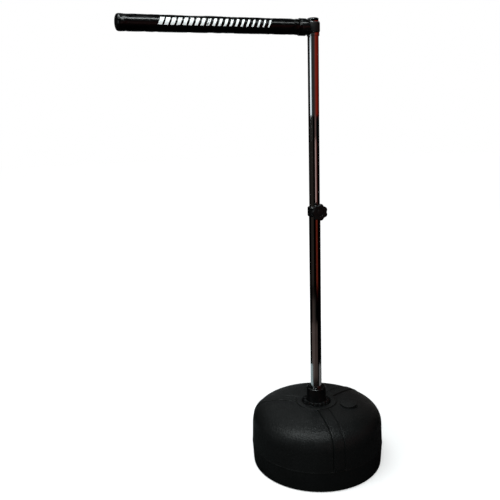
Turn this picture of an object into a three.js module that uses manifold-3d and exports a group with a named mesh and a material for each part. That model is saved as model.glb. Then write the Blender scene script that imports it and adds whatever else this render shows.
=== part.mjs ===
// A free-standing spinning-bar boxing trainer: a padded bar turns freely on top of a telescopic chrome mast,
// and the mast stands in a domed plastic tank that is filled with sand or water.
// Millimetres, +Z up. The origin is on the floor, on the mast's axis. The bar points along -X at rest.
import * as THREE from "three";
import { mergeVertices } from "three/addons/utils/BufferGeometryUtils.js";
import Module from "manifold-3d";

const wasm = await Module();
wasm.setup();

// ---- Driving dimensions ----
const GAP = 0.3; // clearance between neighbouring pieces
const TANK_SIDES = 40; // facets round the tank
const SIDES = 32; // facets round a mast-sized piece
const FINE_SIDES = 16; // facets round a screw or a small hole

// Tank
const TANK_R = 230;
const TANK_WALL = 4;
const FOOT_R = 218; // flat underside
const FOOT_CORNER_R = 8;
const SEAM_Z = 74; // mould parting line
const SEAM_PROUD = 0.5;
const SEAM_HALF_HEIGHT = 1.5;
const SIDE_TOP_R = 227;
const SHOULDER_Z = 134.5; // where the side starts to turn over
const SHOULDER_POWER = 0.7; // under 1 is squarer than an ellipse
const SHOULDER_STEPS = 6;
const DOME_Z = 216;
const BOSS_R = 70.5;
const BOSS_Z = 219.5;
const BOSS_CHAMFER = 1.5;
const RECESS_R = 51.8;
const RECESS_WALL_R = 46.3;
const RECESS_STEP_Z = 212;
const RECESS_FLOOR_Z = 205;
const WELL_R = 30;
const WELL_BOTTOM_Z = 120;

// Ribs over the shoulder of the tank
const RIB_COUNT = 3;
const RIB_AZIMUTH = -102.4;
const RIB_WIDTH = 38;
const RIB_PROUD = 2.5;
const RIB_FOOT_Z = 78;

// Fill opening, midway between two ribs
const FILL_AZIMUTH = RIB_AZIMUTH + 180 / RIB_COUNT;
const FILL_FROM_AXIS = 114;
const FILL_BORE_R = 22.8;
const FILL_NECK_R = 26.5;
const FILL_NECK_LOW_Z = 195;
const SEAT_R = 31.5;
const SEAT_Z = 214.7;
const CAP_R = 29;
const CAP_THICK = 4.2;
const CAP_SPIGOT_R = 22.2;
const CAP_SPIGOT_BORE_R = 18;
const CAP_SPIGOT_LENGTH = 12;
const CAP_NOTCHES = 12;
const CAP_NOTCH_R = 1.6;
const CAP_NOTCH_OUT = 0.9; // how far outside the rim a notch is centred
const CAP_EDGE = 1.2;
const CAP_CROWN = 0.8;
const SEAL_THICK = 1.3;

// Socket for the mast
const HUB_R = 34;
const HUB_TOP_Z = 272;
const HUB_ROUND = 5;
const FLANGE_R = 45.5;
const FLANGE_THICK = 4.9;
const GASKET_THICK = 1.5;
const SPIGOT_R = 29.4;
const SPIGOT_LOW_Z = 125;
const SOCKET_FLOOR_Z = 131;
const LOCK_RING_TOP_Z = 227;
const LOCK_RING_STEP_Z = 216.5;
const LOCK_RING_R = 43;
const LOCK_TOOTH_DEPTH = 3;
const LOCK_TEETH = 18;
const LOCK_CHAMFER = 4;
const SOCKET_SCREW_Z = 250;
const SOCKET_SCREW_R = 3;
const SOCKET_SCREW_SUNK = 0.6; // how far the screw's end is below the hub's side
const SOCKET_KEY_R = 1.6;
const SOCKET_KEY_DEPTH = 4;
const SCREW_AZIMUTH = 58.7; // small screws face away from the front

// Mast
const LOWER_R = 19;
const LOWER_BORE_R = 17.8;
const LOWER_TOP_Z = 906.5;
const UPPER_R = 17.5;
const UPPER_BORE_R = 16;
const UPPER_LOW_Z = 607;
const UPPER_TOP_Z = 1497;
const PLUG_LENGTH = 18;
const FOOT_RIM = 4; // the part of the foot that is below the tube
const END_PLUG_EDGE = 1.2;
const END_PLUG_SHOULDER = 3.2;
const END_PLUG_CROWN = 4.6;
const END_PLUG_TOP = 5.2;

// Clamp
const COLLAR_R = 23.4;
const COLLAR_LOW_Z = 879;
const COLLAR_TOP_Z = 912;
const COLLAR_CHAMFER = 3.5;
const COLLAR_NECK_R = 17.9;
const RIVET_R = 1.8;
const RIVET_HEAD_R = 3.4;
const RIVET_HEAD = 1.8;
const RIVET_HOLE_R = 2.1;
const CLAMP_Z = 897.5;
const CLAMP_AZIMUTH = -98.3;
const CLAMP_BOSS_R = 10.5;
const CLAMP_BOSS_END = 30;
const INSERT_R = 6;
const INSERT_START = 24.8;
const PAD_R = 4;
const PAD_LENGTH = 2.7;
const PAD_HOLE_R = 4.5;
const TUBE_HOLE_R = 4.9;
const STUD_R = 3.9;
const STUD_START = 20.8;
const STUD_END = 44;
const THREAD_GAP = 0.4; // round the stud, inside the insert
const KNOB_START = 30.6;
const KNOB_HEAD_START = 35;
const KNOB_END = 47;
const KNOB_R = 26.4;
const KNOB_LOBES = 7;
const KNOB_TURN = 12.9; // degrees, so that the gap between two lobes is level with the axis
const KNOB_LOBE_DEPTH = 1.8;
const KNOB_SKIRT_R = 13;
const KNOB_CAP_R = 12;
const KNOB_CAP_THICK = 2.4;
const KNOB_CAP_PROUD = 0.4;
const KNOB_BEVEL = 1.5;

// Swivel head
const BAR_Z = 1473; // axis of the bar and middle of the sleeve
const SLEEVE_R = 21.6;
const SLEEVE_BORE_R = 19.3;
const SLEEVE_HALF = 12.6;
const BUSH_R = 19;
const BUSH_BORE_R = 17.8;
const BUSH_FLANGE_R = 20.8;
const BUSH_FLANGE_THICK = 1.2;
const BUSH_LENGTH = 10.5;
const STOP_R = 19.8;
const STOP_HEIGHT = 11.3;
const STOP_SCREW_R = 2;
const STOP_SCREW_HOLE_R = 2.3;
const STOP_KEY_R = 1;
const STOP_KEY_DEPTH = 1.2;
const RETAINER_R = 20.4;
const RETAINER_BORE_R = 17.1;
const RETAINER_THICK = 1.5;
const RETAINER_GROOVE_R = 16.8;
const RETAINER_GROOVE_GAP = 0.2;
const RETAINER_MOUTH = 9;
const STUB_R = 11;
const STUB_BORE_R = 8;
const STUB_END = 75;
const STUB_ROOT = 1.5; // how far the stub runs into the sleeve's wall

// Bar, measured outwards from the mast's axis
const BAR_END = 620;
const COVER_R = 23.3;
const COVER_WALL = 1.2;
const COVER_START = 31;
const COVER_ROUND = 8;
const FOAM_BORE_R = 13;
const FOAM_START = 30;
const CORE_R = 12.7;
const CORE_BORE_R = 11.3;
const CORE_START = 29;
const CORE_END = 590;
const CORE_PLUG_RIM = 3;
const FOAM_PAST_CORE = 4;
const CUP_START = 22.3;
const CUP_DISC_END = 28.6;
const CUP_NECK_R = 23.4;
const CUP_SKIRT_R = 25.9;
const CUP_SKIRT_END = 50;
const CUP_EDGE = 0.8;
const BAR_SCREW_AT = 40;
const BAR_SCREW_R = 2.5;
const BAR_SCREW_HEAD_R = 4.6;
const BAR_SCREW_HEAD_EDGE = 1;
const BAR_SCREW_HEAD_RISE = 1.7;
const BAR_SCREW_HEAD_TOP = 2.3;
const BAR_SCREW_TIP = 6;
const PAST = 1; // how far a cutting tool runs past what it cuts

const radians = THREE.MathUtils.degToRad;

// ---- Materials ----
const finish = (color, roughness, metalness = 0) =>
  new THREE.MeshStandardMaterial({ color, roughness, metalness });
const TANK_PLASTIC = finish(0x1b1c1e, 0.55);
const GLOSS_BLACK = finish(0x0b0b0c, 0.2);
const MATT_BLACK = finish(0x161617, 0.65);
const CHROME = finish(0xd9dbdd, 0.08, 1);
const STEEL = finish(0x9a9da1, 0.35, 1);
const BRASS = finish(0xb08d45, 0.3, 1);
const RUBBER = finish(0x121212, 0.85);
const NYLON = finish(0x2a2a2b, 0.5);
const FOAM = finish(0x2e2e30, 0.95);
const VINYL = finish(0x0a0a0b, 0.18);

// ---- Shapes ----
// A solid turned round Z from [radius, height] points, listed anticlockwise from the bottom.
function turned(points, sides = SIDES) {
  const startsOnAxis = points[0][0] === 0;
  const closed = startsOnAxis ? points : [...points, points[0]];
  const outline = closed.map(([r, z]) => new THREE.Vector2(r, z));
  return new THREE.LatheGeometry(outline, sides).rotateX(Math.PI / 2);
}

// A plain rod along Z.
function rod(radius, low, high, sides = FINE_SIDES) {
  return turned([[0, low], [radius, low], [radius, high], [0, high]], sides);
}

// A plain ring round Z.
function ring(bore, radius, low, high, sides = SIDES) {
  return turned([[bore, low], [radius, low], [radius, high], [bore, high]], sides);
}

// Points on a quarter circle from one angle to another, in degrees.
function arc(centreR, centreZ, radius, from, to, steps = 5) {
  return Array.from({ length: steps + 1 }, (_, i) => {
    const angle = radians(from + ((to - from) * i) / steps);
    return [centreR + radius * Math.cos(angle), centreZ + radius * Math.sin(angle)];
  });
}

// A flat outline whose radius rises and falls evenly, for teeth and lobes.
function lobedShape(radius, depth, lobes, stepsPerLobe) {
  const steps = lobes * stepsPerLobe;
  const points = Array.from({ length: steps }, (_, i) => {
    const angle = (2 * Math.PI * i) / steps;
    const r = radius + depth * Math.cos(lobes * angle);
    return new THREE.Vector2(r * Math.cos(angle), r * Math.sin(angle));
  });
  return new THREE.Shape(points);
}

// ---- Booleans ----
function toSolid(geometry) {
  const bare = geometry.clone();
  bare.deleteAttribute("normal");
  bare.deleteAttribute("uv");
  const welded = mergeVertices(bare, 1e-4);
  const vertProperties = welded.attributes.position.array;
  const triVerts = new Uint32Array(welded.index.array);
  return new wasm.Manifold(new wasm.Mesh({ numProp: 3, vertProperties, triVerts }));
}

function toGeometry(solid) {
  const { vertProperties, triVerts } = solid.getMesh();
  const geometry = new THREE.BufferGeometry();
  geometry.setAttribute("position", new THREE.BufferAttribute(vertProperties, 3));
  geometry.setIndex(new THREE.BufferAttribute(triVerts, 1));
  geometry.computeVertexNormals();
  return geometry;
}

function joined(first, ...others) {
  return toGeometry(others.reduce((sum, g) => sum.add(toSolid(g)), toSolid(first)));
}

function cut(first, ...tools) {
  return toGeometry(tools.reduce((rest, g) => rest.subtract(toSolid(g)), toSolid(first)));
}

function common(first, second) {
  return toGeometry(toSolid(first).intersect(toSolid(second)));
}

// ---- Scene helpers ----
const trainer = new THREE.Group();

function add(parent, name, geometry, material) {
  const mesh = new THREE.Mesh(geometry, material);
  mesh.name = name;
  parent.add(mesh);
  return mesh;
}

// A group whose +Z points outwards from the mast's axis at an azimuth and a height.
function outwardGroup(azimuth, height) {
  const turn = new THREE.Group();
  turn.position.z = height;
  turn.rotation.z = radians(azimuth);
  const tip = new THREE.Group();
  tip.rotation.y = Math.PI / 2;
  turn.add(tip);
  trainer.add(turn);
  return tip;
}

// A tool that cuts outwards from the axis at an azimuth and a height.
function outwardRod(radius, from, to, azimuth, height) {
  return rod(radius, from, to)
    .rotateY(Math.PI / 2)
    .rotateZ(radians(azimuth))
    .translate(0, 0, height);
}

// ---- Tank ----
// The shoulder from the side to the dome, moved outwards by an offset.
function shoulder(offset) {
  const across = SIDE_TOP_R - BOSS_R + offset;
  const up = DOME_Z - SHOULDER_Z + offset;
  return Array.from({ length: SHOULDER_STEPS + 1 }, (_, i) => {
    const angle = (Math.PI / 2) * (i / SHOULDER_STEPS);
    const r = BOSS_R + across * Math.max(Math.cos(angle), 0) ** SHOULDER_POWER;
    return [r, SHOULDER_Z + up * Math.sin(angle) ** SHOULDER_POWER];
  });
}

function tankBody() {
  return turned([
    [0, 0],
    ...arc(FOOT_R, FOOT_CORNER_R, FOOT_CORNER_R, -90, 0, 3),
    [TANK_R - SEAM_PROUD, SEAM_Z - SEAM_HALF_HEIGHT],
    [TANK_R, SEAM_Z],
    [TANK_R - SEAM_PROUD, SEAM_Z + SEAM_HALF_HEIGHT],
    ...shoulder(0),
    [BOSS_R, BOSS_Z - BOSS_CHAMFER],
    [BOSS_R - BOSS_CHAMFER, BOSS_Z],
    [RECESS_R, BOSS_Z],
    [RECESS_WALL_R + 1, RECESS_STEP_Z],
    [RECESS_WALL_R, RECESS_FLOOR_Z],
    [WELL_R, RECESS_FLOOR_Z],
    [WELL_R, WELL_BOTTOM_Z],
    [0, WELL_BOTTOM_Z],
  ], TANK_SIDES);
}

function tankHollow() {
  return turned([
    [0, TANK_WALL],
    ...arc(FOOT_R, FOOT_CORNER_R, FOOT_CORNER_R - TANK_WALL, -90, 0, 2),
    [TANK_R - TANK_WALL, SEAM_Z],
    ...shoulder(-TANK_WALL),
    [RECESS_WALL_R + TANK_WALL, DOME_Z - TANK_WALL],
    [RECESS_WALL_R + TANK_WALL, RECESS_FLOOR_Z - TANK_WALL],
    [WELL_R + TANK_WALL, RECESS_FLOOR_Z - TANK_WALL],
    [WELL_R + TANK_WALL, WELL_BOTTOM_Z - TANK_WALL],
    [0, WELL_BOTTOM_Z - TANK_WALL],
  ], TANK_SIDES);
}

// A flat-topped band that follows the shoulder from the boss down to the parting line.
function rib(azimuth) {
  const outer = [[TANK_R + RIB_PROUD, RIB_FOOT_Z], ...shoulder(RIB_PROUD)];
  const inner = [...shoulder(-TANK_WALL / 2).reverse(), [TANK_R - TANK_WALL / 2, RIB_FOOT_Z]];
  const side = new THREE.Shape([...outer, ...inner].map(([r, z]) => new THREE.Vector2(r, z)));
  return new THREE.ExtrudeGeometry(side, { depth: RIB_WIDTH, bevelEnabled: false })
    .rotateX(Math.PI / 2)
    .translate(0, RIB_WIDTH / 2, 0)
    .rotateZ(radians(azimuth));
}

function fillCentre() {
  const angle = radians(FILL_AZIMUTH);
  return [FILL_FROM_AXIS * Math.cos(angle), FILL_FROM_AXIS * Math.sin(angle), 0];
}

function tank() {
  const ribs = Array.from({ length: RIB_COUNT }, (_, i) => rib(RIB_AZIMUTH + (360 / RIB_COUNT) * i));
  const atFill = (radius, low, high) => rod(radius, low, high, SIDES).translate(...fillCentre());
  const neck = atFill(FILL_NECK_R, FILL_NECK_LOW_Z, SEAT_Z);
  const seat = atFill(SEAT_R, SEAT_Z - TANK_WALL, SEAT_Z);
  const overSeat = atFill(SEAT_R + GAP, SEAT_Z, SEAT_Z + TANK_WALL);
  const bore = atFill(FILL_BORE_R, FILL_NECK_LOW_Z - PAST, SEAT_Z + PAST);
  const shell = joined(cut(tankBody(), tankHollow()), neck, seat, ...ribs);
  return cut(shell, overSeat, bore);
}

function fillCap() {
  const low = SEAT_Z + SEAL_THICK + 2 * GAP;
  const cap = turned([
    [0, low],
    [CAP_SPIGOT_BORE_R, low],
    [CAP_SPIGOT_BORE_R, SEAT_Z - CAP_SPIGOT_LENGTH],
    [CAP_SPIGOT_R, SEAT_Z - CAP_SPIGOT_LENGTH],
    [CAP_SPIGOT_R, low],
    [CAP_R, low],
    [CAP_R, low + CAP_THICK - CAP_EDGE],
    [CAP_R - CAP_EDGE, low + CAP_THICK],
    [0, low + CAP_THICK + CAP_CROWN],
  ]);
  const notches = Array.from({ length: CAP_NOTCHES }, (_, i) =>
    rod(CAP_NOTCH_R, low - PAST, low + CAP_THICK + PAST, 6)
      .translate(CAP_R + CAP_NOTCH_OUT, 0, 0)
      .rotateZ(((i + 0.5) * 2 * Math.PI) / CAP_NOTCHES),
  );
  return cut(cap, ...notches);
}

function buildTank() {
  add(trainer, "base_tank", tank(), TANK_PLASTIC);
  const opening = new THREE.Group();
  opening.position.set(...fillCentre());
  opening.rotation.z = radians(FILL_AZIMUTH);
  trainer.add(opening);
  const sealLow = SEAT_Z + GAP;
  const seal = ring(CAP_SPIGOT_R + GAP, CAP_R - CAP_EDGE - GAP, sealLow, sealLow + SEAL_THICK);
  add(opening, "fill_cap_seal", seal, RUBBER);
  add(opening, "fill_cap", fillCap(), TANK_PLASTIC);
}

// ---- Socket ----
const GASKET_LOW_Z = RECESS_FLOOR_Z + GAP;
const FLANGE_LOW_Z = GASKET_LOW_Z + GASKET_THICK + GAP;
const FLANGE_TOP_Z = FLANGE_LOW_Z + FLANGE_THICK;

function poleSocket() {
  const body = turned([
    [0, SPIGOT_LOW_Z],
    [SPIGOT_R, SPIGOT_LOW_Z],
    [SPIGOT_R, FLANGE_LOW_Z],
    [FLANGE_R, FLANGE_LOW_Z],
    [FLANGE_R, FLANGE_TOP_Z],
    [HUB_R, FLANGE_TOP_Z],
    ...arc(HUB_R - HUB_ROUND, HUB_TOP_Z - HUB_ROUND, HUB_ROUND, 0, 90),
    [LOWER_R + GAP, HUB_TOP_Z],
    [LOWER_R + GAP, SOCKET_FLOOR_Z],
    [0, SOCKET_FLOOR_Z],
  ]);
  return cut(body, outwardRod(SOCKET_SCREW_R + GAP, LOWER_R, HUB_R + PAST, SCREW_AZIMUTH, SOCKET_SCREW_Z));
}

// A ring nut: its plain lower part screws into the recess, and its toothed upper part is gripped by hand.
function lockRing() {
  const low = FLANGE_TOP_Z + GAP;
  const toothed = new THREE.ExtrudeGeometry(
    lobedShape(LOCK_RING_R, LOCK_TOOTH_DEPTH / 2, LOCK_TEETH, 4),
    { depth: LOCK_RING_TOP_Z - low, bevelEnabled: false },
  ).translate(0, 0, low);
  const envelope = turned([
    [HUB_R + GAP, low],
    [RECESS_WALL_R - GAP, low],
    [RECESS_WALL_R - GAP, LOCK_RING_STEP_Z],
    [RECESS_WALL_R - GAP, LOCK_RING_TOP_Z - LOCK_CHAMFER],
    [RECESS_WALL_R - GAP - LOCK_CHAMFER, LOCK_RING_TOP_Z],
    [HUB_R + GAP, LOCK_RING_TOP_Z],
  ]);
  const thread = ring(HUB_R + GAP, RECESS_WALL_R - GAP, low, LOCK_RING_STEP_Z);
  return joined(common(toothed, envelope), thread);
}

function buildSocket() {
  const gasket = ring(WELL_R + GAP, FLANGE_R, GASKET_LOW_Z, GASKET_LOW_Z + GASKET_THICK);
  add(trainer, "socket_gasket", gasket, RUBBER);
  add(trainer, "pole_socket", poleSocket(), GLOSS_BLACK);
  add(trainer, "lock_ring", lockRing(), GLOSS_BLACK);
  const screw = outwardGroup(SCREW_AZIMUTH, SOCKET_SCREW_Z);
  const key = rod(SOCKET_KEY_R, HUB_R - SOCKET_KEY_DEPTH, HUB_R, 6);
  const shank = rod(SOCKET_SCREW_R, LOWER_R + GAP, HUB_R - SOCKET_SCREW_SUNK);
  add(screw, "socket_screw", cut(shank, key), STEEL);
}

// ---- Lower mast and clamp ----
function buildLowerMast() {
  const low = SOCKET_FLOOR_Z + GAP;
  const tube = ring(LOWER_BORE_R, LOWER_R, low, LOWER_TOP_Z);
  const padHole = outwardRod(TUBE_HOLE_R, LOWER_BORE_R - PAST, LOWER_R + PAST, CLAMP_AZIMUTH, CLAMP_Z);
  add(trainer, "lower_tube", cut(tube, padHole), CHROME);
  add(trainer, "lower_tube_plug", rod(LOWER_BORE_R - GAP, low, low + PLUG_LENGTH, SIDES), NYLON);
}

function clampCollar() {
  const body = turned([
    [LOWER_R + GAP, COLLAR_LOW_Z],
    [COLLAR_R - COLLAR_CHAMFER, COLLAR_LOW_Z],
    [COLLAR_R, COLLAR_LOW_Z + COLLAR_CHAMFER],
    [COLLAR_R, COLLAR_TOP_Z - COLLAR_CHAMFER],
    [COLLAR_R - COLLAR_CHAMFER, COLLAR_TOP_Z],
    [COLLAR_NECK_R, COLLAR_TOP_Z],
    [COLLAR_NECK_R, LOWER_TOP_Z + GAP],
    [LOWER_R + GAP, LOWER_TOP_Z + GAP],
  ]);
  const boss = outwardRod(CLAMP_BOSS_R, LOWER_R + PAST, CLAMP_BOSS_END, CLAMP_AZIMUTH, CLAMP_Z);
  const insertLow = INSERT_START - GAP;
  const insertHole = outwardRod(INSERT_R + GAP, insertLow, CLAMP_BOSS_END + PAST, CLAMP_AZIMUTH, CLAMP_Z);
  const padHole = outwardRod(PAD_HOLE_R, LOWER_R - PAST, INSERT_START, CLAMP_AZIMUTH, CLAMP_Z);
  const rivetHole = outwardRod(RIVET_HOLE_R, LOWER_R - PAST, COLLAR_R + PAST, SCREW_AZIMUTH, CLAMP_Z);
  return cut(joined(body, boss), insertHole, padHole, rivetHole);
}

function clampKnob() {
  const head = new THREE.ExtrudeGeometry(lobedShape(KNOB_R, KNOB_LOBE_DEPTH, KNOB_LOBES, 8), {
    depth: KNOB_END - KNOB_HEAD_START - 2 * KNOB_BEVEL,
    bevelThickness: KNOB_BEVEL,
    bevelSize: KNOB_BEVEL,
    bevelOffset: -KNOB_BEVEL,
    bevelSegments: 1,
  }).translate(0, 0, KNOB_HEAD_START + KNOB_BEVEL);
  const skirt = rod(KNOB_SKIRT_R, KNOB_START, KNOB_HEAD_START + PAST, SIDES);
  const studHole = rod(STUD_R + GAP, KNOB_START - PAST, STUD_END + GAP);
  const capHole = rod(KNOB_CAP_R + GAP, STUD_END, KNOB_END + PAST, SIDES);
  return cut(joined(head, skirt), studHole, capHole).rotateZ(radians(KNOB_TURN));
}

function buildClamp() {
  add(trainer, "clamp_collar", clampCollar(), GLOSS_BLACK);
  const rivet = outwardGroup(SCREW_AZIMUTH, CLAMP_Z);
  add(rivet, "clamp_collar_rivet", joined(
    rod(RIVET_R, LOWER_R + GAP, COLLAR_R + GAP),
    rod(RIVET_HEAD_R, COLLAR_R + GAP, COLLAR_R + RIVET_HEAD),
  ), STEEL);
  const clamp = outwardGroup(CLAMP_AZIMUTH, CLAMP_Z);
  const insert = ring(STUD_R + THREAD_GAP, INSERT_R, INSERT_START, CLAMP_BOSS_END, FINE_SIDES);
  add(clamp, "clamp_insert", insert, BRASS);
  add(clamp, "clamp_pad", rod(PAD_R, UPPER_R + GAP, UPPER_R + GAP + PAD_LENGTH), NYLON);
  add(clamp, "clamp_stud", rod(STUD_R, STUD_START, STUD_END), STEEL);
  add(clamp, "clamp_knob", clampKnob(), MATT_BLACK);
  const cap = rod(KNOB_CAP_R, KNOB_END - KNOB_CAP_THICK, KNOB_END + KNOB_CAP_PROUD, SIDES);
  add(clamp, "clamp_knob_cap", cap, MATT_BLACK);
}

// ---- Upper mast ----
const SLEEVE_LOW_Z = BAR_Z - SLEEVE_HALF;
const SLEEVE_TOP_Z = BAR_Z + SLEEVE_HALF;
const STOP_TOP_Z = SLEEVE_LOW_Z - BUSH_FLANGE_THICK - 2 * GAP;
const RETAINER_LOW_Z = SLEEVE_TOP_Z + BUSH_FLANGE_THICK + 2 * GAP;

function upperTube() {
  const grooveLow = RETAINER_LOW_Z - RETAINER_GROOVE_GAP;
  const grooveTop = RETAINER_LOW_Z + RETAINER_THICK + RETAINER_GROOVE_GAP;
  return turned([
    [UPPER_BORE_R, UPPER_LOW_Z],
    [UPPER_R, UPPER_LOW_Z],
    [UPPER_R, grooveLow],
    [RETAINER_GROOVE_R, grooveLow],
    [RETAINER_GROOVE_R, grooveTop],
    [UPPER_R, grooveTop],
    [UPPER_R, UPPER_TOP_Z],
    [UPPER_BORE_R, UPPER_TOP_Z],
  ]);
}

function tubeFoot() {
  const collar = UPPER_LOW_Z - GAP;
  return turned([
    [0, collar - FOOT_RIM],
    [UPPER_R, collar - FOOT_RIM],
    [UPPER_R, collar],
    [UPPER_BORE_R - GAP, collar],
    [UPPER_BORE_R - GAP, collar + PLUG_LENGTH],
    [0, collar + PLUG_LENGTH],
  ]);
}

function endPlug() {
  const seat = UPPER_TOP_Z + GAP;
  return turned([
    [0, seat - PLUG_LENGTH],
    [UPPER_BORE_R - GAP, seat - PLUG_LENGTH],
    [UPPER_BORE_R - GAP, seat],
    [UPPER_R, seat],
    [UPPER_R, seat + END_PLUG_EDGE],
    [UPPER_R - 2, seat + END_PLUG_SHOULDER],
    [UPPER_R - 7, seat + END_PLUG_CROWN],
    [0, seat + END_PLUG_TOP],
  ]);
}

// A spring ring with a gap, which snaps into the tube's groove above the sleeve.
function retainingRing() {
  const low = RETAINER_LOW_Z;
  const whole = ring(RETAINER_BORE_R, RETAINER_R, low, low + RETAINER_THICK);
  const mouth = new THREE.BoxGeometry(2 * UPPER_R, RETAINER_MOUTH, 2 * RETAINER_R);
  return cut(whole, mouth.translate(UPPER_R, 0, low).rotateZ(radians(SCREW_AZIMUTH)));
}

function buildUpperMast() {
  add(trainer, "upper_tube_foot", tubeFoot(), NYLON);
  add(trainer, "upper_tube", upperTube(), CHROME);
  add(trainer, "tube_end_plug", endPlug(), MATT_BLACK);
  const stopMiddle = STOP_TOP_Z - STOP_HEIGHT / 2;
  const stop = ring(UPPER_R + GAP, STOP_R, STOP_TOP_Z - STOP_HEIGHT, STOP_TOP_Z);
  const holeEnd = STOP_R + PAST;
  const screwHole = outwardRod(STOP_SCREW_HOLE_R, UPPER_R - PAST, holeEnd, SCREW_AZIMUTH, stopMiddle);
  add(trainer, "stop_collar", cut(stop, screwHole), CHROME);
  const screw = outwardGroup(SCREW_AZIMUTH, stopMiddle);
  const key = rod(STOP_KEY_R, STOP_R - STOP_KEY_DEPTH, STOP_R + PAST, 6);
  add(screw, "stop_collar_screw", cut(rod(STOP_SCREW_R, UPPER_R + GAP, STOP_R + GAP), key), STEEL);
  add(trainer, "retaining_ring", retainingRing(), STEEL);
}

// ---- Spinning bar ----
// The bar's own group has +Z outwards along the bar and +Y to the back. Its pieces are turned round that +Z.
function bush(flangeDown) {
  const inner = SLEEVE_HALF - BUSH_LENGTH;
  const seat = SLEEVE_HALF + GAP;
  const shape = turned([
    [BUSH_BORE_R, inner],
    [BUSH_R, inner],
    [BUSH_R, seat],
    [BUSH_FLANGE_R, seat],
    [BUSH_FLANGE_R, seat + BUSH_FLANGE_THICK],
    [BUSH_BORE_R, seat + BUSH_FLANGE_THICK],
  ]);
  return flangeDown ? shape.rotateX(Math.PI) : shape;
}

function swivelSleeve() {
  const sleeve = ring(SLEEVE_BORE_R, SLEEVE_R, -SLEEVE_HALF, SLEEVE_HALF);
  const stub = ring(STUB_BORE_R, STUB_R, SLEEVE_R - STUB_ROOT, STUB_END).rotateY(-Math.PI / 2);
  const bore = rod(SLEEVE_BORE_R, -SLEEVE_HALF - PAST, SLEEVE_HALF + PAST, SIDES);
  const screwHole = rod(BAR_SCREW_R + GAP, 0, STUB_R + PAST)
    .rotateX(-Math.PI / 2)
    .translate(-BAR_SCREW_AT, 0, 0);
  return cut(joined(sleeve, stub), bore, screwHole);
}

// A hole for the bar's screw, in the bar's own group.
function barScrewHole() {
  return rod(BAR_SCREW_R + GAP, 0, CUP_SKIRT_R + PAST).rotateX(-Math.PI / 2).translate(0, 0, BAR_SCREW_AT);
}

function barFoam() {
  const radius = COVER_R - COVER_WALL - GAP;
  const end = BAR_END - COVER_WALL - GAP;
  const round = COVER_ROUND - COVER_WALL - GAP;
  const body = turned([
    [0, CORE_END + FOAM_PAST_CORE],
    [FOAM_BORE_R, CORE_END + FOAM_PAST_CORE],
    [FOAM_BORE_R, FOAM_START],
    [radius, FOAM_START],
    ...arc(radius - round, end - round, round, 0, 90, 4),
    [0, end],
  ]);
  return cut(body, barScrewHole());
}

function barCover() {
  const inner = COVER_R - COVER_WALL;
  const round = COVER_ROUND - COVER_WALL;
  const body = turned([
    [0, BAR_END - COVER_WALL],
    ...arc(inner - round, BAR_END - COVER_ROUND, round, 90, 0, 4),
    [inner, COVER_START],
    [COVER_R, COVER_START],
    ...arc(COVER_R - COVER_ROUND, BAR_END - COVER_ROUND, COVER_ROUND, 0, 90, 4),
    [0, BAR_END],
  ]);
  return cut(body, barScrewHole());
}

function endCup() {
  const body = turned([
    [STUB_R + GAP, CUP_START],
    [CUP_NECK_R - CUP_EDGE, CUP_START],
    [CUP_NECK_R, CUP_START + CUP_EDGE],
    [CUP_NECK_R, CUP_DISC_END - CUP_EDGE],
    [CUP_SKIRT_R - CUP_EDGE, CUP_DISC_END],
    [CUP_SKIRT_R, CUP_DISC_END + CUP_EDGE],
    [CUP_SKIRT_R, CUP_SKIRT_END - CUP_EDGE],
    [CUP_SKIRT_R - CUP_EDGE, CUP_SKIRT_END],
    [COVER_R + GAP, CUP_SKIRT_END],
    [COVER_R + GAP, CUP_DISC_END],
    [STUB_R + GAP, CUP_DISC_END],
  ]);
  return cut(body, barScrewHole());
}

function barScrew() {
  const seat = CUP_SKIRT_R + GAP;
  const shank = rod(BAR_SCREW_R, BAR_SCREW_TIP, seat);
  const head = turned([
    [0, seat],
    [BAR_SCREW_HEAD_R, seat],
    [BAR_SCREW_HEAD_R - BAR_SCREW_HEAD_EDGE, seat + BAR_SCREW_HEAD_RISE],
    [0, seat + BAR_SCREW_HEAD_TOP],
  ], FINE_SIDES);
  return joined(shank, head).rotateX(-Math.PI / 2).translate(0, 0, BAR_SCREW_AT);
}

function buildBar() {
  const head = new THREE.Group();
  head.position.z = BAR_Z;
  trainer.add(head);
  add(head, "swivel_sleeve", swivelSleeve(), MATT_BLACK);
  add(head, "lower_bush", bush(true), NYLON);
  add(head, "upper_bush", bush(false), NYLON);
  const bar = new THREE.Group();
  bar.rotation.y = -Math.PI / 2;
  head.add(bar);
  add(bar, "bar_end_cup", endCup(), GLOSS_BLACK);
  add(bar, "bar_core_tube", cut(ring(CORE_BORE_R, CORE_R, CORE_START, CORE_END), barScrewHole()), STEEL);
  const corePlug = joined(
    rod(CORE_BORE_R - GAP, CORE_END - PLUG_LENGTH, CORE_END + GAP, SIDES),
    rod(CORE_R, CORE_END + GAP, CORE_END + CORE_PLUG_RIM, SIDES),
  );
  add(bar, "bar_core_plug", corePlug, NYLON);
  add(bar, "bar_foam", barFoam(), FOAM);
  add(bar, "bar_cover", barCover(), VINYL);
  add(bar, "bar_screw", barScrew(), STEEL);
}

buildTank();
buildSocket();
buildLowerMast();
buildClamp();
buildUpperMast();
buildBar();

export default trainer;
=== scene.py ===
"""Looks for the spinning-bar boxing trainer: fine pieces, materials, light and camera round the CAD frame.

Pieces are made in millimetres, and mesh_piece() turns them into metres. Profiles are (radius, height) points,
with a fillet as an optional third number. The stage, the lights and the camera are in metres.
"""

import math

import bmesh
import bpy
import numpy as np
from mathutils import Matrix, Vector


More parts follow.
